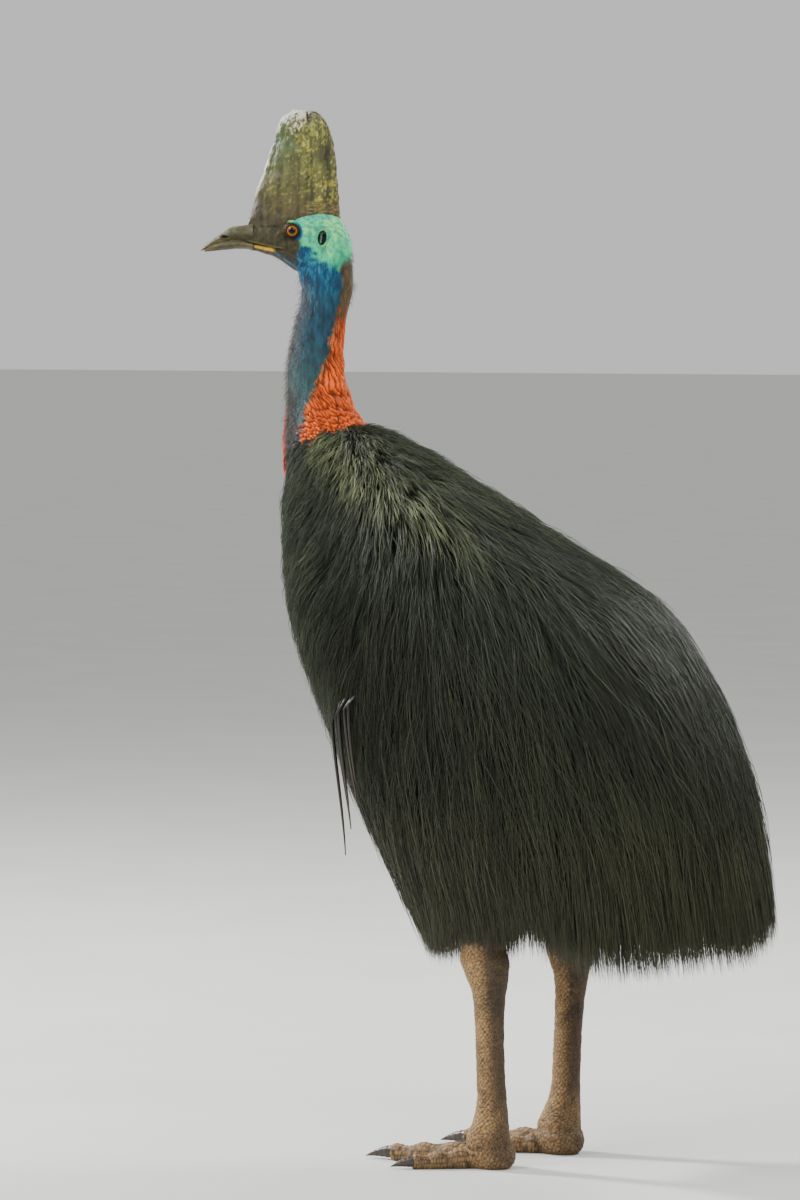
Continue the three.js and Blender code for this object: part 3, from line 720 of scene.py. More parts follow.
def casquePiece():
    at = track(casque["stations"], mm)
    rings = []
    cap = np.sin(np.linspace(0.03, 1, casque["capRings"]) * math.pi / 2)
    heights = np.concatenate([np.linspace(casque["foot"], casque["capFoot"], casque["rings"]),
                              casque["capFoot"] + casque["capTall"] * cap])
    for z in heights * mm:
        front, back, half = at(z)[0]
        rings.append(ovalRing(((front + back) / 2, 0, z), (back - front) / 2, half, casque["sides"],
                              fullness=casque["fullness"]))
    obj = loft("casque_horn", rings)
    points = getPoints(obj)
    normals = getNormals(obj)
    x, y, z = points.T / mm
    front, back, half = at(z * mm).T / mm
    across = (x - (front + back) / 2) / np.maximum((back - front) / 2, 1)

    # upright ribs of the horn, growth lines low at the rear, dents and a chipped crest
    column = np.stack([x, y * 2.2, z * 0.06], axis=1) * mm
    ribs = grain(column, 9, 31) * 0.5 + grain(column, 3.4, 32, 3) * 0.3
    growth = np.sin((z + 0.10 * x + 2.4 * waves(points, 40 * mm, 33)) * 2 * math.pi / 4.3)
    growth *= 0.34 * smooth(x, -6, 26) * smooth(-z, -62, -30)
    dents = grain(points, 34, 34, 3) * 1.3
    lift = ribs * (0.7 + 0.5 * smooth(z, 20, 120)) + growth + dents
    crest = smooth(z, 150, 176)
    lift += crest * grain(points, 8, 35, 3) * 0.9
    rimWear = bell(np.abs(across), 1, 0.10)
    lift += rimWear * (0.7 * grain(points, 12, 36, 3) + 0.4)
    split = bell(x - 1.2 * np.sin(z / 6), casque["splitAt"], casque["splitWide"])
    splitHere = split * smooth(z, casque["splitFoot"], casque["splitFoot"] + 20)
    moved = lifted(points, normals, lift)
    moved[:, 2] -= splitHere * smooth(z, 160, 176) * 6 * mm
    moved = lifted(moved, normals, -3.2 * splitHere)
    moved[:, 1] += 1.2 * mm * np.sin(z / 70)
    setPoints(obj, fromHead(moved))

    big, middle = grain(points, 60, 41, 3), grain(points, 20, 42, stretch=(1, 1, 0.5))
    small, streak = grain(points, 6, 43, 5, stretch=(1, 1, 0.6)), grain(column, 5, 44)
    tiny = grain(points, 3.2, 45, 5, stretch=(1, 1, 0.7))
    moss, darkHorn = tone(158, 154, 62), tone(40, 36, 22)
    green = smooth(z + 18 * big, 66, 120) * smooth(-x + 14 * middle, -20, 12)
    patches = smooth(0.9 * tiny + 0.45 * small + 0.4 * middle + 0.35 * big, 0.25, 0.75)
    patches *= smooth(x + 0.26 * z, 14, 54)
    flecks = smooth(tiny + 0.3 * middle, 0.55, 0.9) * smooth(z, 10, 50)
    colours = over(
        np.repeat(tone(78, 66, 34)[None], len(x), axis=0),
        (smooth(z + 14 * big, 16, 100), tone(86, 86, 42)),
        (green * 0.65, tone(66, 92, 56)),
        (patches * smooth(z, 14, 60) * 0.75, moss),
        (flecks * 0.45, moss),
        (smooth(-small - 0.4 * middle, 0.15, 0.8) * 0.45, darkHorn),
        (smooth(-x - 0.30 * z + 8 * middle, 6, 44) * 0.6, darkHorn),
        (smooth(-z + 4 * middle, -22, -4) * smooth(-x, -20, 20), tone(58, 54, 32)),
    )
    # the pale top and front rim are partly real wear and partly a painted highlight of the sun on them; the
    # chips are wear
    top = smooth(z + 6 * middle + 4 * small, 158, 173) * smooth(-x, -36, -14)
    rim = smooth(-across + 0.04 * small, 0.93, 0.99) * smooth(z, 24, 80) * 0.85
    chips = smooth(tiny + 0.8 * streak + 0.022 * (z - 150), 0.55, 0.9)
    chips *= smooth(z, 118, 156) * smooth(-x, -34, -6)
    wornAndGlint = np.clip(top * smooth(small + middle, -1.0, 0.2) + rim + chips, 0, 1)
    colours = over(
        colours * (1 + 0.42 * streak)[:, None],
        (smooth(growth, 0.12, 0.34) * 0.5, tone(150, 132, 70)),
        (wornAndGlint * 0.85, tone(214, 206, 192)),
        # painted shade: the groove of the split is darkened
        (splitHere * 0.8, darkHorn),
    )
    paint(obj, "hornTone", colours, 0.003)

    horn = Finish("casque horn", 0.55, Specular_IOR_Level=0.45)
    fibres = horn.noise(60, 6.0, horn.stretched((1, 1, 0.07)))
    pits = horn.voronoi(260, horn.stretched((1, 1, 0.45)))
    speck = horn.noise(700, 3.0)
    base = horn.multiplied(horn.attribute("hornTone"), 0.8, fibres,
                           [(0.32, 0.45), (0.5, 1), (0.72, (1.25, 1.22, 1.1))])
    horn.colour(horn.multiplied(base, 0.5, pits, [(0.05, 0.4), (0.3, 1)]))
    horn.rough(fibres, 0.42, 0.72)
    horn.bump(horn.add(horn.add(fibres, pits, 0.35), speck, 0.15), 0.0016, 0.85)
    finishPiece(obj, ["casque"], horn.material)


casquePiece()

# Bill

bill = {
    "upper": [(-56, 10.5, -19, 20), (-67.3, 9, -17.5, 17.5), (-84, 6.5, -14.5, 15), (-94, 3.6, -15.3, 13),
              (-107, -4.4, -17.5, 11), (-118, -12, -21, 8.5), (-128, -19.5, -25.5, 5.5),
              (-136.5, -27, -30, 1.2)],
    "lower": [(-56, -14, -30, 18), (-67.3, -12, -27, 15.5), (-84, -10.5, -26.6, 13), (-98, -11.5, -27.5, 11),
              (-112, -15, -29, 8.5), (-124, -20, -30.2, 5), (-131.5, -26, -30.6, 2)],
    "nostril": (-101, -8.5), "nostrilReach": (7.0, 2.3),
}


def billPieces():
    horn = Finish("bill horn", 0.5, Specular_IOR_Level=0.4)
    speck = horn.noise(140, 5.0, horn.stretched((1, 1, 1.6)))
    scratches = horn.noise(500, 3.0, horn.stretched((0.3, 0.3, 1)))
    horn.colour(horn.multiplied(horn.attribute("hornTone"), 0.7, speck,
                                [(0.3, 0.6), (0.7, (1.15, 1.15, 1.1))]))
    horn.rough(scratches, 0.42, 0.66)
    horn.bump(horn.add(speck, scratches, 0.5), 0.0008, 0.7)
    for half, tip, count, sideCount in (("upper", -136, 110, 96), ("lower", -131, 90, 72)):
        obj = lengthwise(f"bill_{half}_horn", bill[half], -58, tip, count, sideCount)
        isUpper = half == "upper"
        local = toHead(getPoints(obj))
        normals = getNormals(obj)
        x, _, z = local.T / mm
        top, bottom, halfWidth = track(bill[half], mm)(x * mm).T / mm
        lift = 0.25 * grain(local, 5, 51, stretch=(0.35, 1, 1)) + 0.3 * grain(local, 15, 52)
        colours = np.repeat(tone(66, 64, 36)[None], len(x), axis=0)
        if isUpper:
            nx, nz = bill["nostril"]
            slant = (z - nz) + 0.20 * (x - nx)
            hole = np.hypot((x - nx) / bill["nostrilReach"][0], slant / bill["nostrilReach"][1])
            lift -= 3.4 * (1 - smooth(hole, 0.3, 1.0))
            lift += 0.7 * bell(hole, 1.25, 0.2)
            # shallow trough along the nostril, and the cutting edge flared a little
            lift -= 0.9 * bell(slant, 0, 4.5) * smooth(-x, 70, 86) * smooth(x, -130, -118)
            edge = smooth(bottom + 4.5 - z, 0, 4)
            lift += 0.8 * edge
            culmen = smooth(z - top + 2.4, 0, 2)
            lift += 0.5 * culmen
            # painted shade: the nostril's hollow is darkened
            colours = colours * (1 - 0.75 * (1 - smooth(hole, 0.7, 1.1)))[:, None]
            colours = over(colours, (0.75 * edge, tone(120, 106, 70)), (0.6 * culmen, tone(98, 98, 66)))
        else:
            ridge = bell(z, (top + bottom) / 2, 2.0)
            lift += 0.35 * ridge
            stripe = bell(z - bottom, 7.5, 1.6)
            colours = over(colours, (0.35 * stripe, tone(136, 118, 78)),
                           (0.5 * smooth(-x, 112, 130), tone(128, 112, 74)))
        colours = colours * (1 + 0.3 * grain(local, 6, 53, stretch=(0.3, 1, 1)))[:, None]
        lift *= smooth(halfWidth, 1.5, 10)
        setPoints(obj, lifted(fromHead(local), normals, lift))
        paint(obj, "hornTone", colours, 0.003)
        finishPiece(obj, [f"bill_{half}"], horn.material)


billPieces()

# Eyes

eye = {"pupil": 4.1, "iris": 8.4, "cornea": 9.0, "bulge": 1.0, "spokes": 46, "sides": 72, "rings": 48}


def eyePieces():
    ball = Finish("wet eye", 0.22, Specular_IOR_Level=0.2, Coat_Weight=0.16, Coat_Roughness=0.02)
    streaks = ball.noise(900, 4.0)
    ball.colour(ball.multiplied(ball.attribute("eyeTone"), 0.5, streaks,
                                [(0.3, (0.55, 0.5, 0.45)), (0.7, (1.2, 1.15, 1.1))]))
    for name, side in sides.items():
        radius = head["eyeRadius"]
        rings = []
        turns = np.linspace(0.02, math.pi - 0.02, eye["rings"])
        for turn in turns:
            r, out = radius * math.sin(turn), radius * math.cos(turn)
            if out > 0:
                out += eye["bulge"] * float(smooth(np.array(-r), -eye["cornea"], -2.0))
            centre = (0, side * (head["eyeOut"] + out) * mm, 0)
            rings.append(fromHead(ovalRing(centre, r * mm, r * mm, eye["sides"], (1, 0, 0), (0, 0, 1))))
        obj = loft(f"eye_{name}_ball", rings)
        x, y, z = toHead(getPoints(obj)).T / mm
        r = np.hypot(x, z)
        angle = np.arctan2(z, x)
        spokes = 0.5 + 0.5 * np.sin(angle * eye["spokes"] + 1.5 * np.sin(angle * 7))
        iris = tone(112, 62, 18)[None] * (0.75 + 0.35 * spokes)[:, None]
        inner = bell(r - eye["pupil"], 0.3, 0.6) * (r > eye["pupil"])
        colours = over(
            iris,
            (bell(r, 6.9, 0.8) * (0.8 + 0.2 * spokes), tone(208, 132, 36)),
            (r < eye["pupil"], tone(8, 6, 6)),
            (0.7 * inner, tone(96, 40, 12)),
            (smooth(r, eye["iris"] - 1.2, eye["iris"]), tone(26, 16, 10)),
            (side * y <= head["eyeOut"], tone(30, 24, 20)),
        )
        paint(obj, "eyeTone", colours)
        finishPiece(obj, [f"eye_{name}"], ball.material)


eyePieces()
print("head done")

# Body skin, under the coat

body = {
    "root": (-330, 0, 1075), "pitch": math.radians(45.6), "fullness": 2.3,
    # along the body's axis: reach of the plumage to the back, the breast and each side
    "stations": [(10, 20, -80, 60), (70, 50, -152, 105), (130, 72, -196, 138), (190, 94, -234, 165),
                 (260, 115, -262, 185), (350, 139, -294, 203), (460, 174, -334, 216), (560, 194, -358, 221),
                 (640, 184, -377, 219), (704, 170, -384, 210), (800, 135, -295, 186), (890, 84, -194, 146),
                 (955, 36, -100, 95), (985, -10, -55, 30)],
    "long": 0.985, "coatDepth": 26, "collarDepth": 7, "coreFloor": 410, "around": 72, "rings": 70,
}
bodyRoot = np.array(body["root"]) * mm + shift
bodyAlong = np.array([math.cos(body["pitch"]), 0, -math.sin(body["pitch"])])
bodyUp = np.array([math.sin(body["pitch"]), 0, math.cos(body["pitch"])])
bodyAt = track(body["stations"], mm)


def coatDepthAt(s):
    return (body["collarDepth"] + (body["coatDepth"] - body["collarDepth"]) * smooth(s, 0.03, 0.16)) * mm


def skinPoint(s, angle):
    # point of the body's skin, a coat's depth inside the outline of the plumage
    back, breast, half = bodyAt(s).T
    depth = coatDepthAt(s)
    c, sn = np.cos(angle), np.sin(angle)
    power = 2 / body["fullness"]
    across = np.sign(c) * np.abs(c) ** power * np.maximum(half - depth, 0.004)
    above = np.sign(sn) * np.abs(sn) ** power * np.maximum((back - breast) / 2 - depth, 0.004)
    centre = (back + breast) / 2 + above
    point = bodyRoot + s[:, None] * bodyAlong + centre[:, None] * bodyUp
    point[:, 1] += across
    # the belly is drawn up softly, so that it stays above the hem
    floor, soft = body["coreFloor"] * mm, 0.03
    z = point[:, 2]
    point[:, 2] = np.where(z < floor + soft, floor + soft * np.exp((z - floor - soft) / soft), z)
    return point


def heightOverCoat(points):
    offset = points - bodyRoot
    s = offset @ bodyAlong
    back, breast, half = bodyAt(s).T
    up = offset @ bodyUp - (back + breast) / 2
    across = offset[:, 1]
    reach = np.hypot(up, across)
    full = body["fullness"]
    oval = (np.abs(up / ((back - breast) / 2)) ** full + np.abs(across / half) ** full) ** (1 / full)
    return reach - reach / np.maximum(oval, 0.05)


def bodySkin():
    count = body["around"]
    angles = np.arange(count) / count * 2 * math.pi
    along = np.linspace(0.012, body["long"] - 0.002, body["rings"])
    rings = [skinPoint(np.full(count, s), angles) for s in along]
    obj = loft("skin_body", rings)
    points = getPoints(obj)
    shade = 1 + 0.25 * waves(points, 60 * mm, 61)[:, None]
    paint(obj, "skinTone", tone(24, 26, 18) * shade)
    finishPiece(obj, ["torso", "rump"], bareSkin)


bodySkin()

# Legs

leg = {
    "hockTop": 322, "hockSpread": 112, "footSpread": 86, "stagger": 11, "voxel": 2.0,
    # height: fore-and-aft middle, half depth, half width
    "shank": [(322, -4, 33, 27), (305, -3, 37, 29), (282, 0, 32, 27), (256, 2, 25, 22), (220, 1, 22, 19),
              (150, 0, 21, 18), (100, 0, 22, 19), (70, -3, 26, 23), (46, -8, 32, 28), (30, -8, 33, 29)],
    "thigh": [(520, -14, 70, 56), (430, -14, 60, 48), (390, -12, 53, 44), (350, -8, 41, 35),
              (318, -4, 33, 27)],
    # heel pad: half length, half width, half height; how far ahead of the leg's line and how high
    "heel": (38, 31, 30), "heelPlace": (-6, 20), "scuteRise": 1.7, "pebbleRise": 0.8, "pebbles": 420,
}
toes = {  # length, half width, half height, splay, claw: length, radius, hook
    "inner": (92, 15, 17, -23, 100, 9.5, 10),
    "middle": (158, 18, 19, 2, 46, 9, 9),
    "outer": (112, 15, 17, 36, 34, 8, 7),
}
toeSizes = ("length", "halfWidth", "halfHeight", "splay", "claw", "clawRadius", "hook")
toes = {name: dict(zip(toeSizes, row)) for name, row in toes.items()}


def legShift(side, height):
    spread = np.interp(height, [0, leg["hockTop"]], [leg["footSpread"], leg["hockSpread"]])
    ahead = -leg["stagger"] if side < 0 else leg["stagger"]
    return np.array([ahead, side * float(spread), 0])


def legPoint(side, height, x=0, up=0):
    # a point x behind the leg's own line at that height, and up above it
    return (legShift(side, height) + np.array((x, 0, height + up))) * mm + shift


def legLoft(name, low, high, count, side, around):
    at = track(leg[name])
    rings = []
    for z in np.linspace(low, high, count):
        x, halfDepth, halfWidth = at(z)[0]
        rings.append(ovalRing(legPoint(side, z, x), halfDepth * mm, halfWidth * mm, around))
    return loft(name, rings)


def toeFrame(side, toe):
    turn = math.radians(-side * toe["splay"])
    heading = np.array([-math.cos(turn), -math.sin(turn), 0])
    aside = np.array([math.sin(turn), -math.cos(turn), 0])
    return heading, aside, legPoint(side, 0, leg["heelPlace"][0])


def toeLoft(side, toe):
    heading, aside, start = toeFrame(side, toe)
    rings = []
    for t in np.linspace(0, 1, 40):
        thin = (1 - 0.34 * t) * (1 + 0.09 * math.cos(t * math.pi * 6))
        halfUp = toe["halfHeight"] * thin
        centre = start + heading * (toe["length"] * t + 14 * (1 - t)) * mm
        centre[2] = shift[2] + (halfUp - 3) * mm
        rings.append(ovalRing(centre, toe["halfWidth"] * thin * mm, halfUp * mm, 32, aside, (0, 0, 1)))
    tip = ovalRing(rings[-1].mean(0) + heading * 2.5 * mm, toe["halfWidth"] * 0.45 * mm,
                   toe["halfHeight"] * 0.45 * mm, 32, aside, (0, 0, 1))
    return loft("toe", rings + [tip])


def legSeeds(side, draw):
    # middles of the scales: broad in front, lozenges on the sides, pebbles behind, plates across each toe
    seeds, sizes = [], []
    shankAt = track(leg["shank"])
    # from and to (degrees from the front), step round, step up, scale size
    zones = [(-24, 24, 26, 11.5, 1.0), (24, 118, 17, 8.4, 0.6), (-118, -24, 17, 8.4, 0.6),
             (118, 242, 15, 5.6, 0.15)]
    for low, high, every, climb, size in zones:
        row = 0
        for z in np.arange(34, 324, climb / 2):
            x, halfDepth, halfWidth = shankAt(z)[0]
            row += 1
            wide = 1 if halfDepth < 26 else 26 / halfDepth
            for degrees in np.arange(low + every / 4 + (every / 2 if row % 2 else 0), high, every * wide):
                angle = math.radians(degrees + 2.5 * draw.normal())
                up = z + 0.10 * climb * draw.normal()
                out = np.array((-math.cos(angle) * halfDepth, -math.sin(angle) * halfWidth, 0)) * mm
                seeds.append(legPoint(side, z, x, up - z) + out)
                sizes.append(size)
    middle = legPoint(side, 0, *leg["heelPlace"])
    goldenTurn = 2.399963
    for k in range(leg["pebbles"]):
        up = 1 - 2 * (k + 0.5) / leg["pebbles"]
        flat = math.sqrt(1 - up * up)
        onBall = np.array((flat * math.cos(k * goldenTurn), flat * math.sin(k * goldenTurn), up))
        seeds.append(middle + (onBall * leg["heel"] + 1.3 * draw.normal(size=3)) * mm)
        sizes.append(0.2)
    plate = 8.5  # one plate across a toe, along it
    for toe in toes.values():
        heading, aside, start = toeFrame(side, toe)
        t = 0.16
        while t < 1.03:
            thin = 1 - 0.34 * t
            along = start + heading * (toe["length"] * t + 14 * (1 - t)) * mm
            top = along.copy()
            top[2] = shift[2] + (toe["halfHeight"] * thin * 2 - 3) * mm
            for across in (-0.45, 0.45):  # two seeds of one plate, joined below by their shared size
                seeds.append(top + aside * across * toe["halfWidth"] * thin * mm)
                sizes.append(1.0)
            for flank in (-1, 1):
                for low, later in ((1.0, 0), (0.62, 4.2), (0.28, 0)):
                    for half in (0, 0.5):
                        place = along + heading * (plate * half + later + 1.3 * draw.normal()) * mm
                        out = toe["halfWidth"] * thin * (0.86 + 0.2 * math.sin(low * 3))
                        place = place + aside * flank * out * mm
                        place[2] = shift[2] + low * 1.5 * toe["halfHeight"] * thin * mm
                        seeds.append(place)
                        sizes.append(0.25)
            t += plate / toe["length"]
    return np.array(seeds), np.array(sizes)


def legSkin(name, side):
    parts = [legLoft("shank", 30, leg["hockTop"], 60, side, 40), legLoft("thigh", 318, 520, 20, side, 32)]
    heel = []
    halfLong, halfWide, halfHigh = leg["heel"]
    for turn in np.linspace(0.05, math.pi - 0.05, 28):
        middle = legPoint(side, 0, leg["heelPlace"][0], leg["heelPlace"][1] + halfHigh * math.cos(turn))
        heel.append(ovalRing(middle, halfLong * math.sin(turn) * mm, halfWide * math.sin(turn) * mm, 36))
    parts.append(loft("heel", heel))
    parts += [toeLoft(side, toe) for toe in toes.values()]
    obj = joined(f"skin_leg_{name}", parts)
    oneSkin(obj, leg["voxel"] * mm, 5)

    draw = np.random.default_rng(71 if side < 0 else 72)
    points, normals = getPoints(obj), getNormals(obj)
    seeds, sizes = legSeeds(side, draw)
    squash = np.array([1, 1, 0.86])
    nearest, second, owner = cells(points * squash, seeds * squash)
    edge = (second - nearest) / mm
    size = sizes[owner]
    height = points[:, 2] / mm
    bare = smooth(height, 340, 316)
    rise = leg["pebbleRise"] + (leg["scuteRise"] - leg["pebbleRise"]) * size
    # each scale is lifted a little at its lower edge, as they overlap downwards
    tilt = np.clip((seeds[owner, 2] - points[:, 2]) / mm / 5, -1, 1) * 0.35 * size
    scale = rise * (1 - np.exp(-((edge / (1.0 + 1.2 * size)) ** 1.5))) * (1 + tilt) - 0.35 * rise
    rough = 0.5 * grain(points, 14, 73, 3) + 0.16 * grain(points, 3, 74, 2)
    underfoot = smooth(height, 6, 2)
    moved = lifted(points, normals, (scale * bare + rough) * (1 - underfoot))
    moved[:, 2] = np.maximum(moved[:, 2], 0.0003)
    setPoints(obj, moved)

    scaleTone = draw.random(len(seeds))[owner]
    fleck = grain(points, 5, 76)
    behind = smooth(points[:, 0] - (legShift(side, 0)[0] * mm + shift[0]) + 5 * mm * fleck, 0.000, 0.016)
    shankHere = smooth(height, 60, 110)
    colours = over(
        np.repeat(tone(160, 124, 80)[None], len(points), axis=0),
        # the middle of each scale is paler, partly a random tone per scale and partly a painted highlight on
        # the raised scale
        ((0.15 + 0.35 * scaleTone) * smooth(edge, 1, 4), tone(204, 170, 116)),
        (behind * (0.45 + 0.45 * shankHere), tone(76, 60, 38, 0.5 * (scaleTone - 0.5))),
        # the grooves between the scales are dark, partly the skin's own colour and partly painted shade
        (0.85 * bell(edge, 0, 0.9) * bare, tone(42, 32, 20)),
    )
    grime = smooth(grain(points, 34, 75), 0.0, 0.9)
    colours = colours * (1 - 0.35 * grime)[:, None] * (1 + 0.18 * fleck)[:, None]
    colours = colours * (1 - 0.30 * smooth(-height, -70, -20))[:, None]
    colours = over(colours, (smooth(height + 6 * fleck, 318, 338), tone(26, 24, 18)))
    paint(obj, "scaleTone", colours, 0.003)
    nodes = [f"thigh_{name}", f"shank_{name}"] + [f"toe_{toeName}_{name}" for toeName in toes]
    finishPiece(obj, nodes, legFinish)


def scaleFinish():
    scales = Finish("leg scales", 0.6, Specular_IOR_Level=0.4)
    speck = scales.noise(260, 5.0)
    fine = scales.noise(900, 3.0)
    scales.colour(scales.multiplied(scales.attribute("scaleTone"), 0.7, speck,
                                    [(0.3, (0.6, 0.58, 0.55)), (0.7, (1.2, 1.2, 1.18))]))
    scales.rough(speck, 0.48, 0.78)
    scales.bump(scales.add(speck, fine, 0.5), 0.0010, 0.8)
    return scales.material


legFinish = scaleFinish()
for name, side in sides.items():
    legSkin(name, side)


def clawPieces():
    horn = Finish("claw horn", 0.38, Specular_IOR_Level=0.5, Coat_Weight=0.15, Coat_Roughness=0.25)
    speck = horn.noise(160, 5.0, horn.stretched((0.4, 1, 1)))
    horn.colour(horn.ramp(speck, [(0.25, tone(26, 22, 18)), (0.55, tone(58, 48, 38)),
                                  (0.8, tone(96, 80, 58))]))
    horn.rough(speck, 0.26, 0.5)
    horn.bump(speck, 0.0008, 0.7)
    for name, side in sides.items():
        for toeName, toe in toes.items():
            heading, aside, start = toeFrame(side, toe)
            rings = []
            for t in np.linspace(-0.12, 1, 48):  # from a root sunk in the toe to the tip
                ahead = max(t, 0)
                radius = toe["clawRadius"] * (1 - ahead**1.5) + 0.5
                radius *= 1 + 0.03 * math.sin(t * 34)
                rise = toe["clawRadius"] + 3 - toe["hook"] * ahead * ahead
                centre = start + heading * (toe["length"] + 0.3 + toe["claw"] * t) * mm
                centre[2] = shift[2] + max(rise, radius + 0.3) * mm
                rings.append(ovalRing(centre, radius * 0.82 * mm, radius * mm, 32, aside, (0, 0, 1)))
            obj = loft(f"claw_{toeName}_{name}_horn", rings)
            finishPiece(obj, [f"claw_{toeName}_{name}"], horn.material)


clawPieces()
print("legs done")

# Wattles

wattle = {"top": 1100, "drop": 108, "place": -399, "apart": 9.5, "thick": (8.8, 6.4)}


def wattlePieces():
    red = Finish("wattle skin", 0.42, Specular_IOR_Level=0.45, Subsurface_Weight=0.1,
                 Subsurface_Scale=0.004)
    folds = red.noise(130, 5.0, red.stretched((1, 1, 0.5)))
    red.colour(red.ramp(folds, [(0.25, tone(104, 22, 22)), (0.5, tone(178, 52, 44)),
                                (0.8, tone(214, 96, 78))]))
    red.bump(red.add(folds, red.voronoi(420), -0.4), 0.0016, 0.8)
    for name, side in sides.items():
        rings = []
        for t in np.linspace(0, 1, 90):
            swell = math.sin(math.pi * (0.12 + 0.8 * t)) ** 0.7
            centre = np.array((wattle["place"] - 3 * t, side * (wattle["apart"] + 2 * t),
                               wattle["top"] - 4 - (wattle["drop"] - 4) * t)) * mm + shift
            rings.append(ovalRing(centre, *(half * swell * mm for half in wattle["thick"]), 56))
        obj = loft(f"wattle_{name}_skin", rings)
        points, normals = getPoints(obj), getNormals(obj)
        lumps = 0.8 * waves(points * np.array([1, 1, 0.6]), 12 * mm, 81 + side)
        lumps += 0.4 * waves(points, 5 * mm, 83)
        setPoints(obj, lifted(points, normals, lumps))
        finishPiece(obj, [f"wattle_{name}"], red.material)


wattlePieces()

# Coat

coat = {
    "seed": 101, "tufts": 13400, "collarTufts": 1500, "strands": 4, "fineSteps": 16,
    "shaft": 0.70, "fineShaft": 0.56, "spread": 3.2, "flyaways": 0.10,
    # along the body: length of the plumes (mm), how dense they stand
    "rows": [(0.0, 32, 2.9), (0.06, 46, 2.6), (0.13, 60, 2.2), (0.20, 80, 1.75), (0.30, 118, 1.35),
             (0.40, 165, 0.95), (0.50, 195, 0.9), (0.80, 225, 0.9), (0.985, 200, 1.0)],
    "collarFoot": 0.985, "collarTall": 0.083,
    # height of the collar's roots: length of its plumes
    "collar": [(0.985, 0.064), (1.03, 0.046), (1.064, 0.026)],
    # how far to the rear and the side: lowest reach of the hem
    "hem": [(0.10, 0.296), (0.265, 0.296), (0.30, 0.303), (0.33, 0.320), (0.35, 0.342), (0.368, 0.385)],
    # height: where the plumes part to the front and the rear, and how strongly they fan out
    "parting": [(0.65, -0.10, 0.36), (0.85, -0.12, 0.72), (1.03, -0.27, 0.95)],
}


def strandTree():
    # guide lines become thin tapered shafts; thickness comes with each guide point
    tree = bpy.data.node_groups.new("plume shafts", "GeometryNodeTree")
    face = tree.interface
    face.new_socket("Geometry", in_out="INPUT", socket_type="NodeSocketGeometry")
    inputs = [face.new_socket(name, in_out="INPUT", socket_type=f"NodeSocket{kind}").identifier
              for name, kind in (("Shaft Radius", "Float"), ("Sides", "Int"), ("Material", "Material"))]
    face.new_socket("Geometry", in_out="OUTPUT", socket_type="NodeSocketGeometry")
    entry, leave, toCurve, thickness, profile, sweep, realize, setMaterial = [
        tree.nodes.new(kind) for kind in (
            "NodeGroupInput", "NodeGroupOutput", "GeometryNodeMeshToCurve",
            "GeometryNodeInputNamedAttribute", "GeometryNodeCurvePrimitiveCircle",
            "GeometryNodeCurveToMesh", "GeometryNodeRealizeInstances", "GeometryNodeSetMaterial")]
    thickness.data_type = "FLOAT"
    thickness.inputs["Name"].default_value = "thickness"
    sweep.inputs["Fill Caps"].default_value = True
    wires = [(entry, "Geometry", toCurve, "Mesh"), (entry, "Sides", profile, "Resolution"),
             (entry, "Shaft Radius", profile, "Radius"), (toCurve, "Curve", sweep, "Curve"),
             (thickness, "Attribute", sweep, "Scale"), (profile, "Curve", sweep, "Profile Curve"),
             (sweep, "Mesh", realize, "Geometry"), (realize, "Geometry", setMaterial, "Geometry"),
             (entry, "Material", setMaterial, "Material"), (setMaterial, "Geometry", leave, "Geometry")]
    for start, output, end, socket in wires:
        tree.links.new(start.outputs[output], end.inputs[socket])
    return tree, inputs


shaftTree, shaftInputs = strandTree()


def strandPiece(name, paths, thickness, colours, rootUv, radius, material, nodes=None, perPoint=3):
    # paths: strands x points x 3; perPoint: corners of a shaft's section
    strands, count = paths.shape[:2]
    mesh = bpy.data.meshes.new(name)
    mesh.vertices.add(strands * count)
    mesh.vertices.foreach_set("co", paths.astype(np.float32).ravel())
    starts = (np.arange(strands) * count)[:, None] + np.arange(count - 1)[None]
    edges = np.stack([starts, starts + 1], axis=2).reshape(-1, 2)
    mesh.edges.add(len(edges))
    mesh.edges.foreach_set("vertices", edges.astype(np.int32).ravel())
    layer = mesh.attributes.new("thickness", "FLOAT", "POINT")
    layer.data.foreach_set("value", thickness.astype(np.float32).ravel())
    obj = newObject(name, mesh)
    shafts = obj.modifiers.new("shafts", "NODES")
    shafts.node_group = shaftTree
    for socket, value in zip(shaftInputs, (radius, perPoint, material)):
        shafts[socket] = value
    asPlainMesh(obj)
    made = len(obj.data.vertices)
    if made != strands * count * perPoint:
        raise RuntimeError(f"{name}: {made} vertices, not {strands * count * perPoint}")
    paint(obj, "plumeTone", np.repeat(colours.reshape(-1, 3), perPoint, axis=0))
    # each tuft is a small patch at its root's place on the skin's unwrap
    patch = 0.003
    along = np.tile(np.repeat(np.linspace(-0.5, 0.5, count), perPoint), strands) * patch
    aside = np.tile(np.arange(perPoint), strands * count) / (perPoint - 1) * patch - patch / 2
    base = np.repeat(rootUv, count * perPoint, axis=0)
    places = base + np.stack([aside, along], axis=1)
    corner = np.empty(len(obj.data.loops), dtype=np.int32)
    obj.data.loops.foreach_get("vertex_index", corner)
    uv = obj.data.uv_layers.new(name="OFBake")
    uv.data.foreach_set("uv", places[corner].astype(np.float32).ravel())
    obj.data.attributes.remove(obj.data.attributes["thickness"])
    finishPiece(obj, nodes, material)


def coatRoots(draw):
    # tufts spread evenly over the skin, denser where the plumes are short
    wanted = coat["tufts"]
    tries = wanted * 12
    s, angle = draw.random(tries) * 0.975 + 0.008, draw.random(tries) * 2 * math.pi
    back, breast, half = bodyAt(s).T
    girth = np.hypot((back - breast) / 2, half)
    density = np.interp(s, [r[0] for r in coat["rows"]], [r[2] for r in coat["rows"]])
    keep = draw.random(len(s)) < girth * density / (girth * density).max()
    s, angle = s[keep][:wanted], angle[keep][:wanted]
    root = skinPoint(s, angle)
    free = heightOverNeck(root) > -8 * mm
    return s[free], angle[free], root[free]


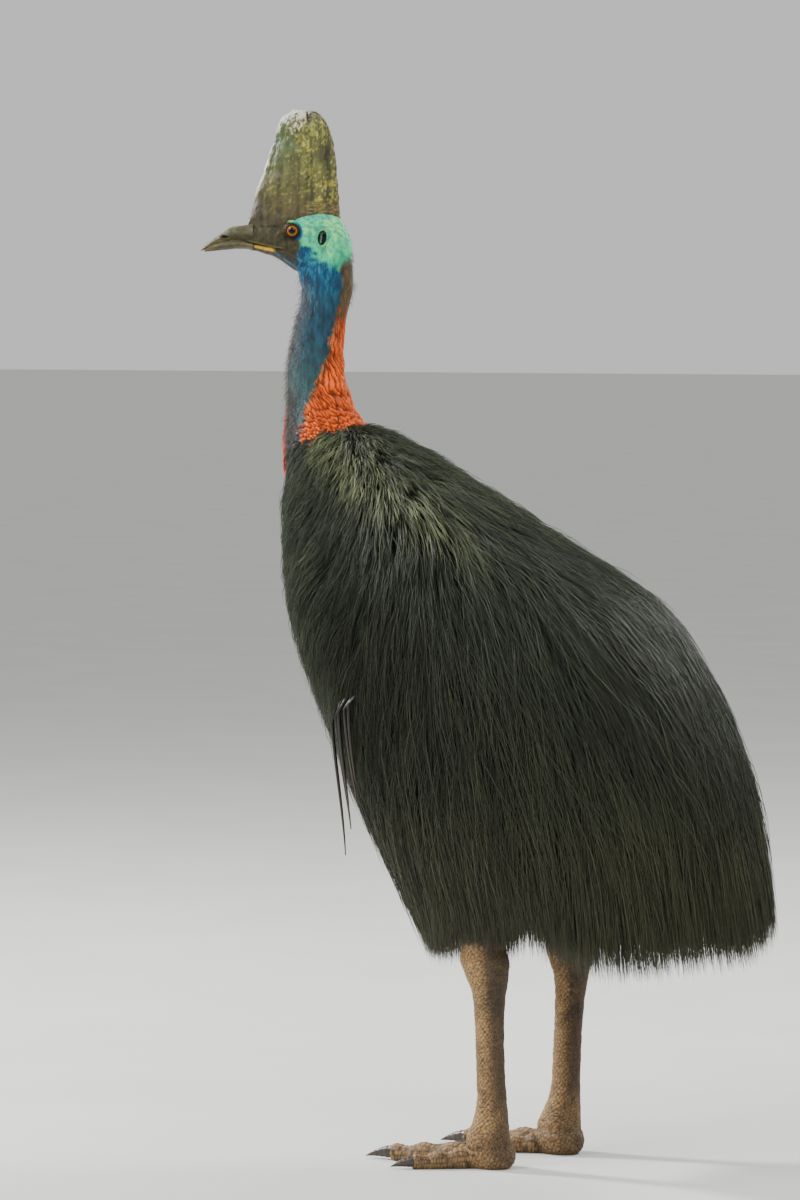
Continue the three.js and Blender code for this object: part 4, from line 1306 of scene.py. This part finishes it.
def collarRoots(draw):
    # tufts on the foot of the neck, down to a ragged line behind the orange patch
    wanted = coat["collarTufts"]
    z = coat["collarFoot"] + coat["collarTall"] * draw.random(wanted)
    around = draw.random(wanted) * 2 * math.pi
    x, halfDepth, halfWidth, _ = neckAt(z).T
    root = np.stack([x + np.cos(around) * halfDepth, np.sin(around) * halfWidth, z], axis=1) + shift
    fromNape = np.abs(np.degrees(np.where(around > math.pi, around - 2 * math.pi, around)))
    top = np.interp(fromNape, [0, 80, 130, 180], [1.064, 1.060, 1.036, 1.030])
    top += 0.006 * grain(root, 22, 91, 2)
    keep = z < top
    return z[keep], around[keep], root[keep]


def heightOverNeck(points):
    own = points - shift
    x, halfDepth, halfWidth, _ = neckAt(own[:, 2]).T
    ahead, aside = own[:, 0] - x, own[:, 1]
    reach = np.hypot(ahead, aside)
    above = reach - reach / np.maximum(np.hypot(ahead / halfDepth, aside / halfWidth), 0.05)
    return np.maximum(above, coat["collarFoot"] - own[:, 2])


def heightOverBird(points):
    # body and neck as one form, with a soft fillet between them
    s = (points - bodyRoot) @ bodyAlong
    onBody = np.maximum(heightOverCoat(points), 0.010 - s)
    soft = 0.005
    return -soft * np.logaddexp(-onBody / soft, -heightOverNeck(points) / soft)


def outward(points):
    step = 1 * mm
    slope = [heightOverBird(points + np.eye(3)[k] * step) - heightOverBird(points - np.eye(3)[k] * step)
             for k in range(3)]
    return unit(np.stack(slope, axis=1))


def lieAt(points, normals):
    # the plumes part over the shoulder: forward down the breast, backward down the back
    x, z = (points - shift)[:, 0], (points - shift)[:, 2]
    heights, parting, fan = zip(*coat["parting"])
    lean = np.interp(z, (0.4, *heights), (0.08, *fan)) * (x - np.interp(z, heights, parting)) / 0.21
    lean = np.clip(lean, -0.55, 1.05)
    lie = np.stack([lean, np.zeros_like(lean), -np.ones_like(lean)], axis=1)
    # plumes hang free where the body turns under, and from the edge of the tail
    cling = smooth(normals[:, 2], -0.72, -0.05) * (1 - smooth(x, 0.10, 0.20) * smooth(-z, -0.50, -0.42))
    return unit(lie - normals * (np.sum(lie * normals, axis=1) * cling)[:, None]), cling


def growStrands(root, length, swing, rise, lift, spread, depth):
    # walks every strand along the lie of the coat, from its root out to the coat's surface
    steps = coat["fineSteps"]
    point = root.copy()
    path = [point.copy()]
    outside = [heightOverBird(point)]
    for i in range(steps):
        t = (i + 1) / steps
        normals = outward(point)
        lie, cling = lieAt(point, normals)
        across = unit(np.cross(lie, normals))
        turn = swing + spread * 1.2 * (1 - t)
        heading = lie + across * (np.sin(turn) * (0.25 + 0.75 * cling))[:, None]
        point = point + heading * (length / steps)[:, None]
        wanted = depth + (rise - depth) * math.sin(min(t * 1.5, 1) * math.pi / 2) + lift * t * t
        push = (wanted - heightOverBird(point)) * cling
        point = point + outward(point) * np.clip(push, -0.012, 0.012)[:, None]
        path.append(point.copy())
        outside.append(heightOverBird(point))
    return np.array(path).transpose(1, 0, 2), np.array(outside).T


def coatPieces():
    draw = np.random.default_rng(coat["seed"])
    s, angle, rootsBody = coatRoots(draw)
    z, around, rootsNeck = collarRoots(draw)
    tuftRoot = np.concatenate([rootsBody, rootsNeck])
    tufts = len(tuftRoot)
    onNeck = np.arange(tufts) >= len(s)
    rows = coat["rows"]
    lengths = np.concatenate([np.interp(s, [r[0] for r in rows], [r[1] for r in rows]) * mm,
                              through(coat["collar"], z)])
    lengths *= 0.78 + 0.44 * draw.random(tufts)
    heightOfRoot = tuftRoot[:, 2] - shift[2]
    swing = np.interp(heightOfRoot, [0.5, 0.8], [0.15, 0.12]) * draw.normal(size=tufts)
    swing += 0.14 * grain(tuftRoot, 90, 92, 2)
    rise = np.where(onNeck, 3.5 - 3 * draw.random(tufts), -1.5 - 9 * draw.random(tufts) ** 1.5) * mm
    tuftTone = draw.random(tufts)

    each = coat["strands"]
    owner = np.repeat(np.arange(tufts), each)
    strands = len(owner)
    root = tuftRoot[owner] + draw.normal(size=(strands, 3)) * 0.9 * mm
    fan = np.tile(np.linspace(-1, 1, each), tufts) + 0.25 * draw.normal(size=strands)
    length = lengths[owner] * (0.76 + 0.34 * draw.random(strands))
    depth = heightOverBird(root)
    spread = fan * coat["spread"] * mm / length
    astray = draw.random(strands) < coat["flyaways"]
    front = smooth(-(root - shift)[:, 0], 0.16, 0.30) * smooth((root - shift)[:, 2], 0.55, 0.75)
    lift = (astray * (3 + 6 * draw.random(strands)) + front * 8 * draw.random(strands) ** 2) * mm
    lift *= np.clip(length / 0.09, 0.3, 1)
    turned = swing[owner] + (0.06 + 0.10 * astray) * draw.normal(size=strands)
    raised = rise[owner] + 1.6 * mm * draw.normal(size=strands)
    path, outside = growStrands(root, length, turned, raised, lift, spread, depth)

    # a strand ends where it hangs out of the bird's outline, some a little later than others
    allowed = (3 + 14 * draw.random(strands) ** 2.5) * mm + lift * 1.1
    tip = path[:, -1] - shift
    rear = acrossView[0] * tip[:, 0] + acrossView[1] * np.abs(tip[:, 1])
    hem = through(coat["hem"], rear) + shift[2] - 0.016 * smooth(-tip[:, 0], 0.02, 0.12)
    # the hem is higher between the legs
    hem += 0.030 * bell(acrossView[0] * tip[:, 0] + acrossView[1] * tip[:, 1], 0.004, 0.032)
    allowed += 0.07 * smooth(rear, 0.16, 0.24) * smooth(tip[:, 0], 0.08, 0.18)
    clump = 8 * grain(tuftRoot, 46, 93, 2)[owner]
    hem += (np.clip(clump, -2, 9) + 54 * draw.random(strands) ** 2.2 - 6) * mm
    past = (outside > allowed[:, None]) | (path[:, :, 2] < hem[:, None])
    past[:, :2] = False
    last = np.where(past.any(1), past.argmax(1), coat["fineSteps"])
    keep = last >= 3
    path, last, owner, lift = path[keep], last[keep], owner[keep], lift[keep]
    strands = len(path)
    bow = draw.normal(size=(strands, 3)) * (1.2 + 1.6 * (lift > 3 * mm))[:, None] * mm
    stout = 0.75 + 0.5 * draw.random(strands)
    vary = (0.35 + 1.3 * tuftTone[owner]) * (0.8 + 0.4 * draw.random(strands))

    turned = np.concatenate([angle, around]) / (2 * math.pi)
    climbed = np.concatenate([0.13 + 0.85 * s / body["long"], (1.068 - z) * 1.2])
    unwrap = np.stack([turned, climbed], axis=1) * 0.98 + 0.01
    place = np.concatenate([s, np.full(len(z), -1.0)])[owner]
    aside = np.concatenate([np.cos(angle), np.sin(around)])[owner]
    bands = {"collar": (-2, 0.13, 4), "shoulder": (0.13, 0.27, 4), "back": (0.27, 0.40, 4),
             "flank": (0.40, 0.55, 5), "hip": (0.55, 0.70, 5), "tail": (0.70, 1.0, 5)}
    material = plumeFinish()
    total = 0
    for bandName, (start, end, count) in bands.items():
        for sideName, onSide in sides.items():
            mask = (place >= start) & (place < end) & ((aside < 0) == (onSide < 0))
            t = np.linspace(0, 1, count)
            bent = resample(path[mask], last[mask], t)
            bent = bent + bow[mask][:, None] * np.sin(t * math.pi)[None, :, None]
            thickness = stout[mask][:, None] * (1.0 - 0.85 * t**1.7)[None]
            thickness[:, -1] *= 0.5
            colours = plumeColours(bent, t, vary[mask])
            shaft = coat["fineShaft"] if count == 4 else coat["shaft"]
            strandPiece(f"coat_{bandName}_{sideName}", bent, thickness, colours,
                        unwrap[owner[mask]], shaft * mm, material)
            triangles = int(mask.sum()) * ((count - 1) * 6 + 2)
            total += triangles
            print("coat", bandName, sideName, "triangles", triangles)
    print("coat triangles", total)


def resample(path, last, t):
    # even points from the root to each strand's own last step
    where = t[None] * last[:, None]
    low = np.minimum(where.astype(int), coat["fineSteps"] - 1)
    part = (where - low)[:, :, None]
    rows = np.arange(len(path))[:, None]
    return path[rows, low] * (1 - part) + path[rows, low + 1] * part


def plumeColours(bent, t, vary):
    # black, olive above and browner below, with a painted highlight of sheen on the upper shoulder, and
    # painted shade at the roots that leaves the tips paler, most on the upper back
    own = bent - shift
    height = own[:, :, 2]
    facing = outward(bent[:, 2])
    colours = over(tone(42, 47, 30), (smooth(height, 0.66, 1.02), tone(46, 55, 34)),
                   (0.8 * smooth(-height, -0.66, -0.36), tone(60, 59, 40)))
    # painted highlight: a band of pale sheen on the strand tips of the upper shoulder, where the coat faces
    # partly upward
    crest = (bell(facing[:, 2], 0.66, 0.15) * smooth(-own[:, 2, 0], -0.10, 0.12))[:, None] * t**1.5
    crest = crest * smooth(height, 0.80, 0.98) * np.clip(vary - 0.35, 0, 1)[:, None]
    colours = over(colours, (crest, tone(150, 156, 112)))
    # painted shade at the roots of the strands and painted light towards their tips, strongest on the upper
    # back
    steep = 0.4 + 0.9 * smooth(height[:, :1], 0.62, 0.9)
    rootShadeTipLight = (1.12 - 0.5 * steep) + steep * (t[None] - 0.35) * 0.9
    return colours * vary[:, None, None] * rootShadeTipLight[:, :, None]


def plumeFinish():
    plume = Finish("plumage", 0.5, Specular_IOR_Level=0.42)
    plume.colour(plume.attribute("plumeTone"))
    return plume.material


coatPieces()
print("coat done")

# Bristles on the bare skin

bristles = {"seed": 131, "count": 3000, "radius": 0.28, "points": 4}


def bristlePiece():
    draw = np.random.default_rng(bristles["seed"])
    points, normals = getPoints(headSkin), getNormals(headSkin)
    around, height = neckCoordinates(points)
    height = height / mm
    x, _, z = toHead(points).T / mm
    throat = smooth(np.abs(around), 90, 165) * smooth(-height, -1320, -1190) * smooth(height, 1000, 1020)
    nape = smooth(-np.abs(around), -50, -20) * smooth(height, 1225, 1290) * smooth(-height, -1335, -1320)
    faceHere = smooth(height, 1290, 1310) * (np.hypot(x, z) > 19) * (x > -52)
    weight = throat + 0.35 * nape + 0.05 * faceHere
    chosen = draw.choice(len(points), bristles["count"], replace=False, p=weight / weight.sum())
    root, normal = points[chosen], normals[chosen]
    length = (6 + 6 * draw.random(len(chosen))) * (0.5 + 0.5 * (height[chosen] < 1290)) * mm
    hang = np.array([0.25, 0, -1.0])
    t = np.linspace(0, 1, bristles["points"])
    heading = unit(hang - normal * (normal @ hang)[:, None] * 0.9 + 0.3 * draw.normal(size=root.shape))
    path = root[:, None] + (heading * length[:, None])[:, None] * t[None, :, None]
    path += (normal * length[:, None])[:, None] * (0.55 * np.sin(t * 2.2) - 0.04)[None, :, None]
    thickness = np.tile(1 - 0.8 * t, (len(chosen), 1))
    colours = np.tile(tone(96, 90, 84), (len(chosen), bristles["points"], 1))
    unwrap = np.stack([around[chosen] / 360 + 0.5, np.clip((height[chosen] - 990) / 420, 0, 1)], axis=1)
    material = Finish("bristles", 0.5, Specular_IOR_Level=0.3)
    material.colour(material.attribute("plumeTone"))
    strandPiece("coat_bristles", path, thickness, colours, unwrap * 0.98 + 0.01,
                bristles["radius"] * mm, material.material)


bristlePiece()

# Wing quills

quills = {
    "seat": 318, "low": -36, "radius": 2.8, "sides": 8, "hug": 0.92, "steps": 24, "clear": 5,
    # ahead of or behind the seat (mm), length (mm), sideways swing
    "each": [(34, 264, 0.0), (43, 222, 0.08), (52, 196, 0.03), (61, 176, 0.11), (70, 150, 0.06)],
}


def wingPieces():
    horn = Finish("quill horn", 0.36, Specular_IOR_Level=0.4)
    horn.colour(horn.attribute("plumeTone"))
    horn.bump(horn.noise(420, 3.0, horn.stretched((1, 1, 0.1))), 0.0005, 0.6)
    place = np.array([quills["seat"] * mm])
    back, breast, half = bodyAt(place)[0]
    low = math.radians(quills["low"])
    depth = body["coatDepth"] * mm
    for name, side in sides.items():
        seat = bodyRoot + quills["seat"] * mm * bodyAlong
        seat = seat + ((back + breast) / 2 + ((back - breast) / 2 - depth) * math.sin(low)) * bodyUp
        seat[1] += side * (half - depth) * math.cos(low)
        start = np.array([seat + np.array((row[0] * mm, 0, -6 * mm)) for row in quills["each"]])
        length = np.array([row[1] for row in quills["each"]]) * mm
        swing = np.array([row[2] for row in quills["each"]]) * side
        point, steps = start.copy(), quills["steps"]
        path = [point.copy()]
        for i in range(steps):
            t = (i + 1) / steps
            normal = outward(point)
            lie, _ = lieAt(point, normal)
            free = float(smooth(np.array(t), quills["hug"], quills["hug"] + 0.25))
            fall = np.array([-0.06, side * 0.03, -1.0])
            heading = unit(lie * (1 - free) + fall * free + np.cross(lie, normal) * swing[:, None])
            point = point + heading * (length / steps)[:, None]
            wanted = -depth + (depth + quills["clear"] * mm) * min(t * 4, 1)
            push = np.clip(wanted - heightOverBird(point), 0, 0.012)
            point = point + normal * push[:, None]
            path.append(point.copy())
        path = np.array(path)[::2].transpose(1, 0, 2)
        count = path.shape[1]
        t = np.linspace(0, 1, count)
        thickness = np.tile(1 - 0.7 * t**3, (len(start), 1))
        shade = over(tone(20, 18, 15), (t**3, tone(66, 54, 40)))[None]
        unwrap = np.stack([np.linspace(0.1, 0.9, len(start)), np.full(len(start), 0.5)], axis=1)
        strandPiece(f"quills_{name}", path, thickness, np.repeat(shade, len(start), axis=0), unwrap,
                    quills["radius"] * mm, horn.material, [f"wing_{name}"], quills["sides"])


wingPieces()
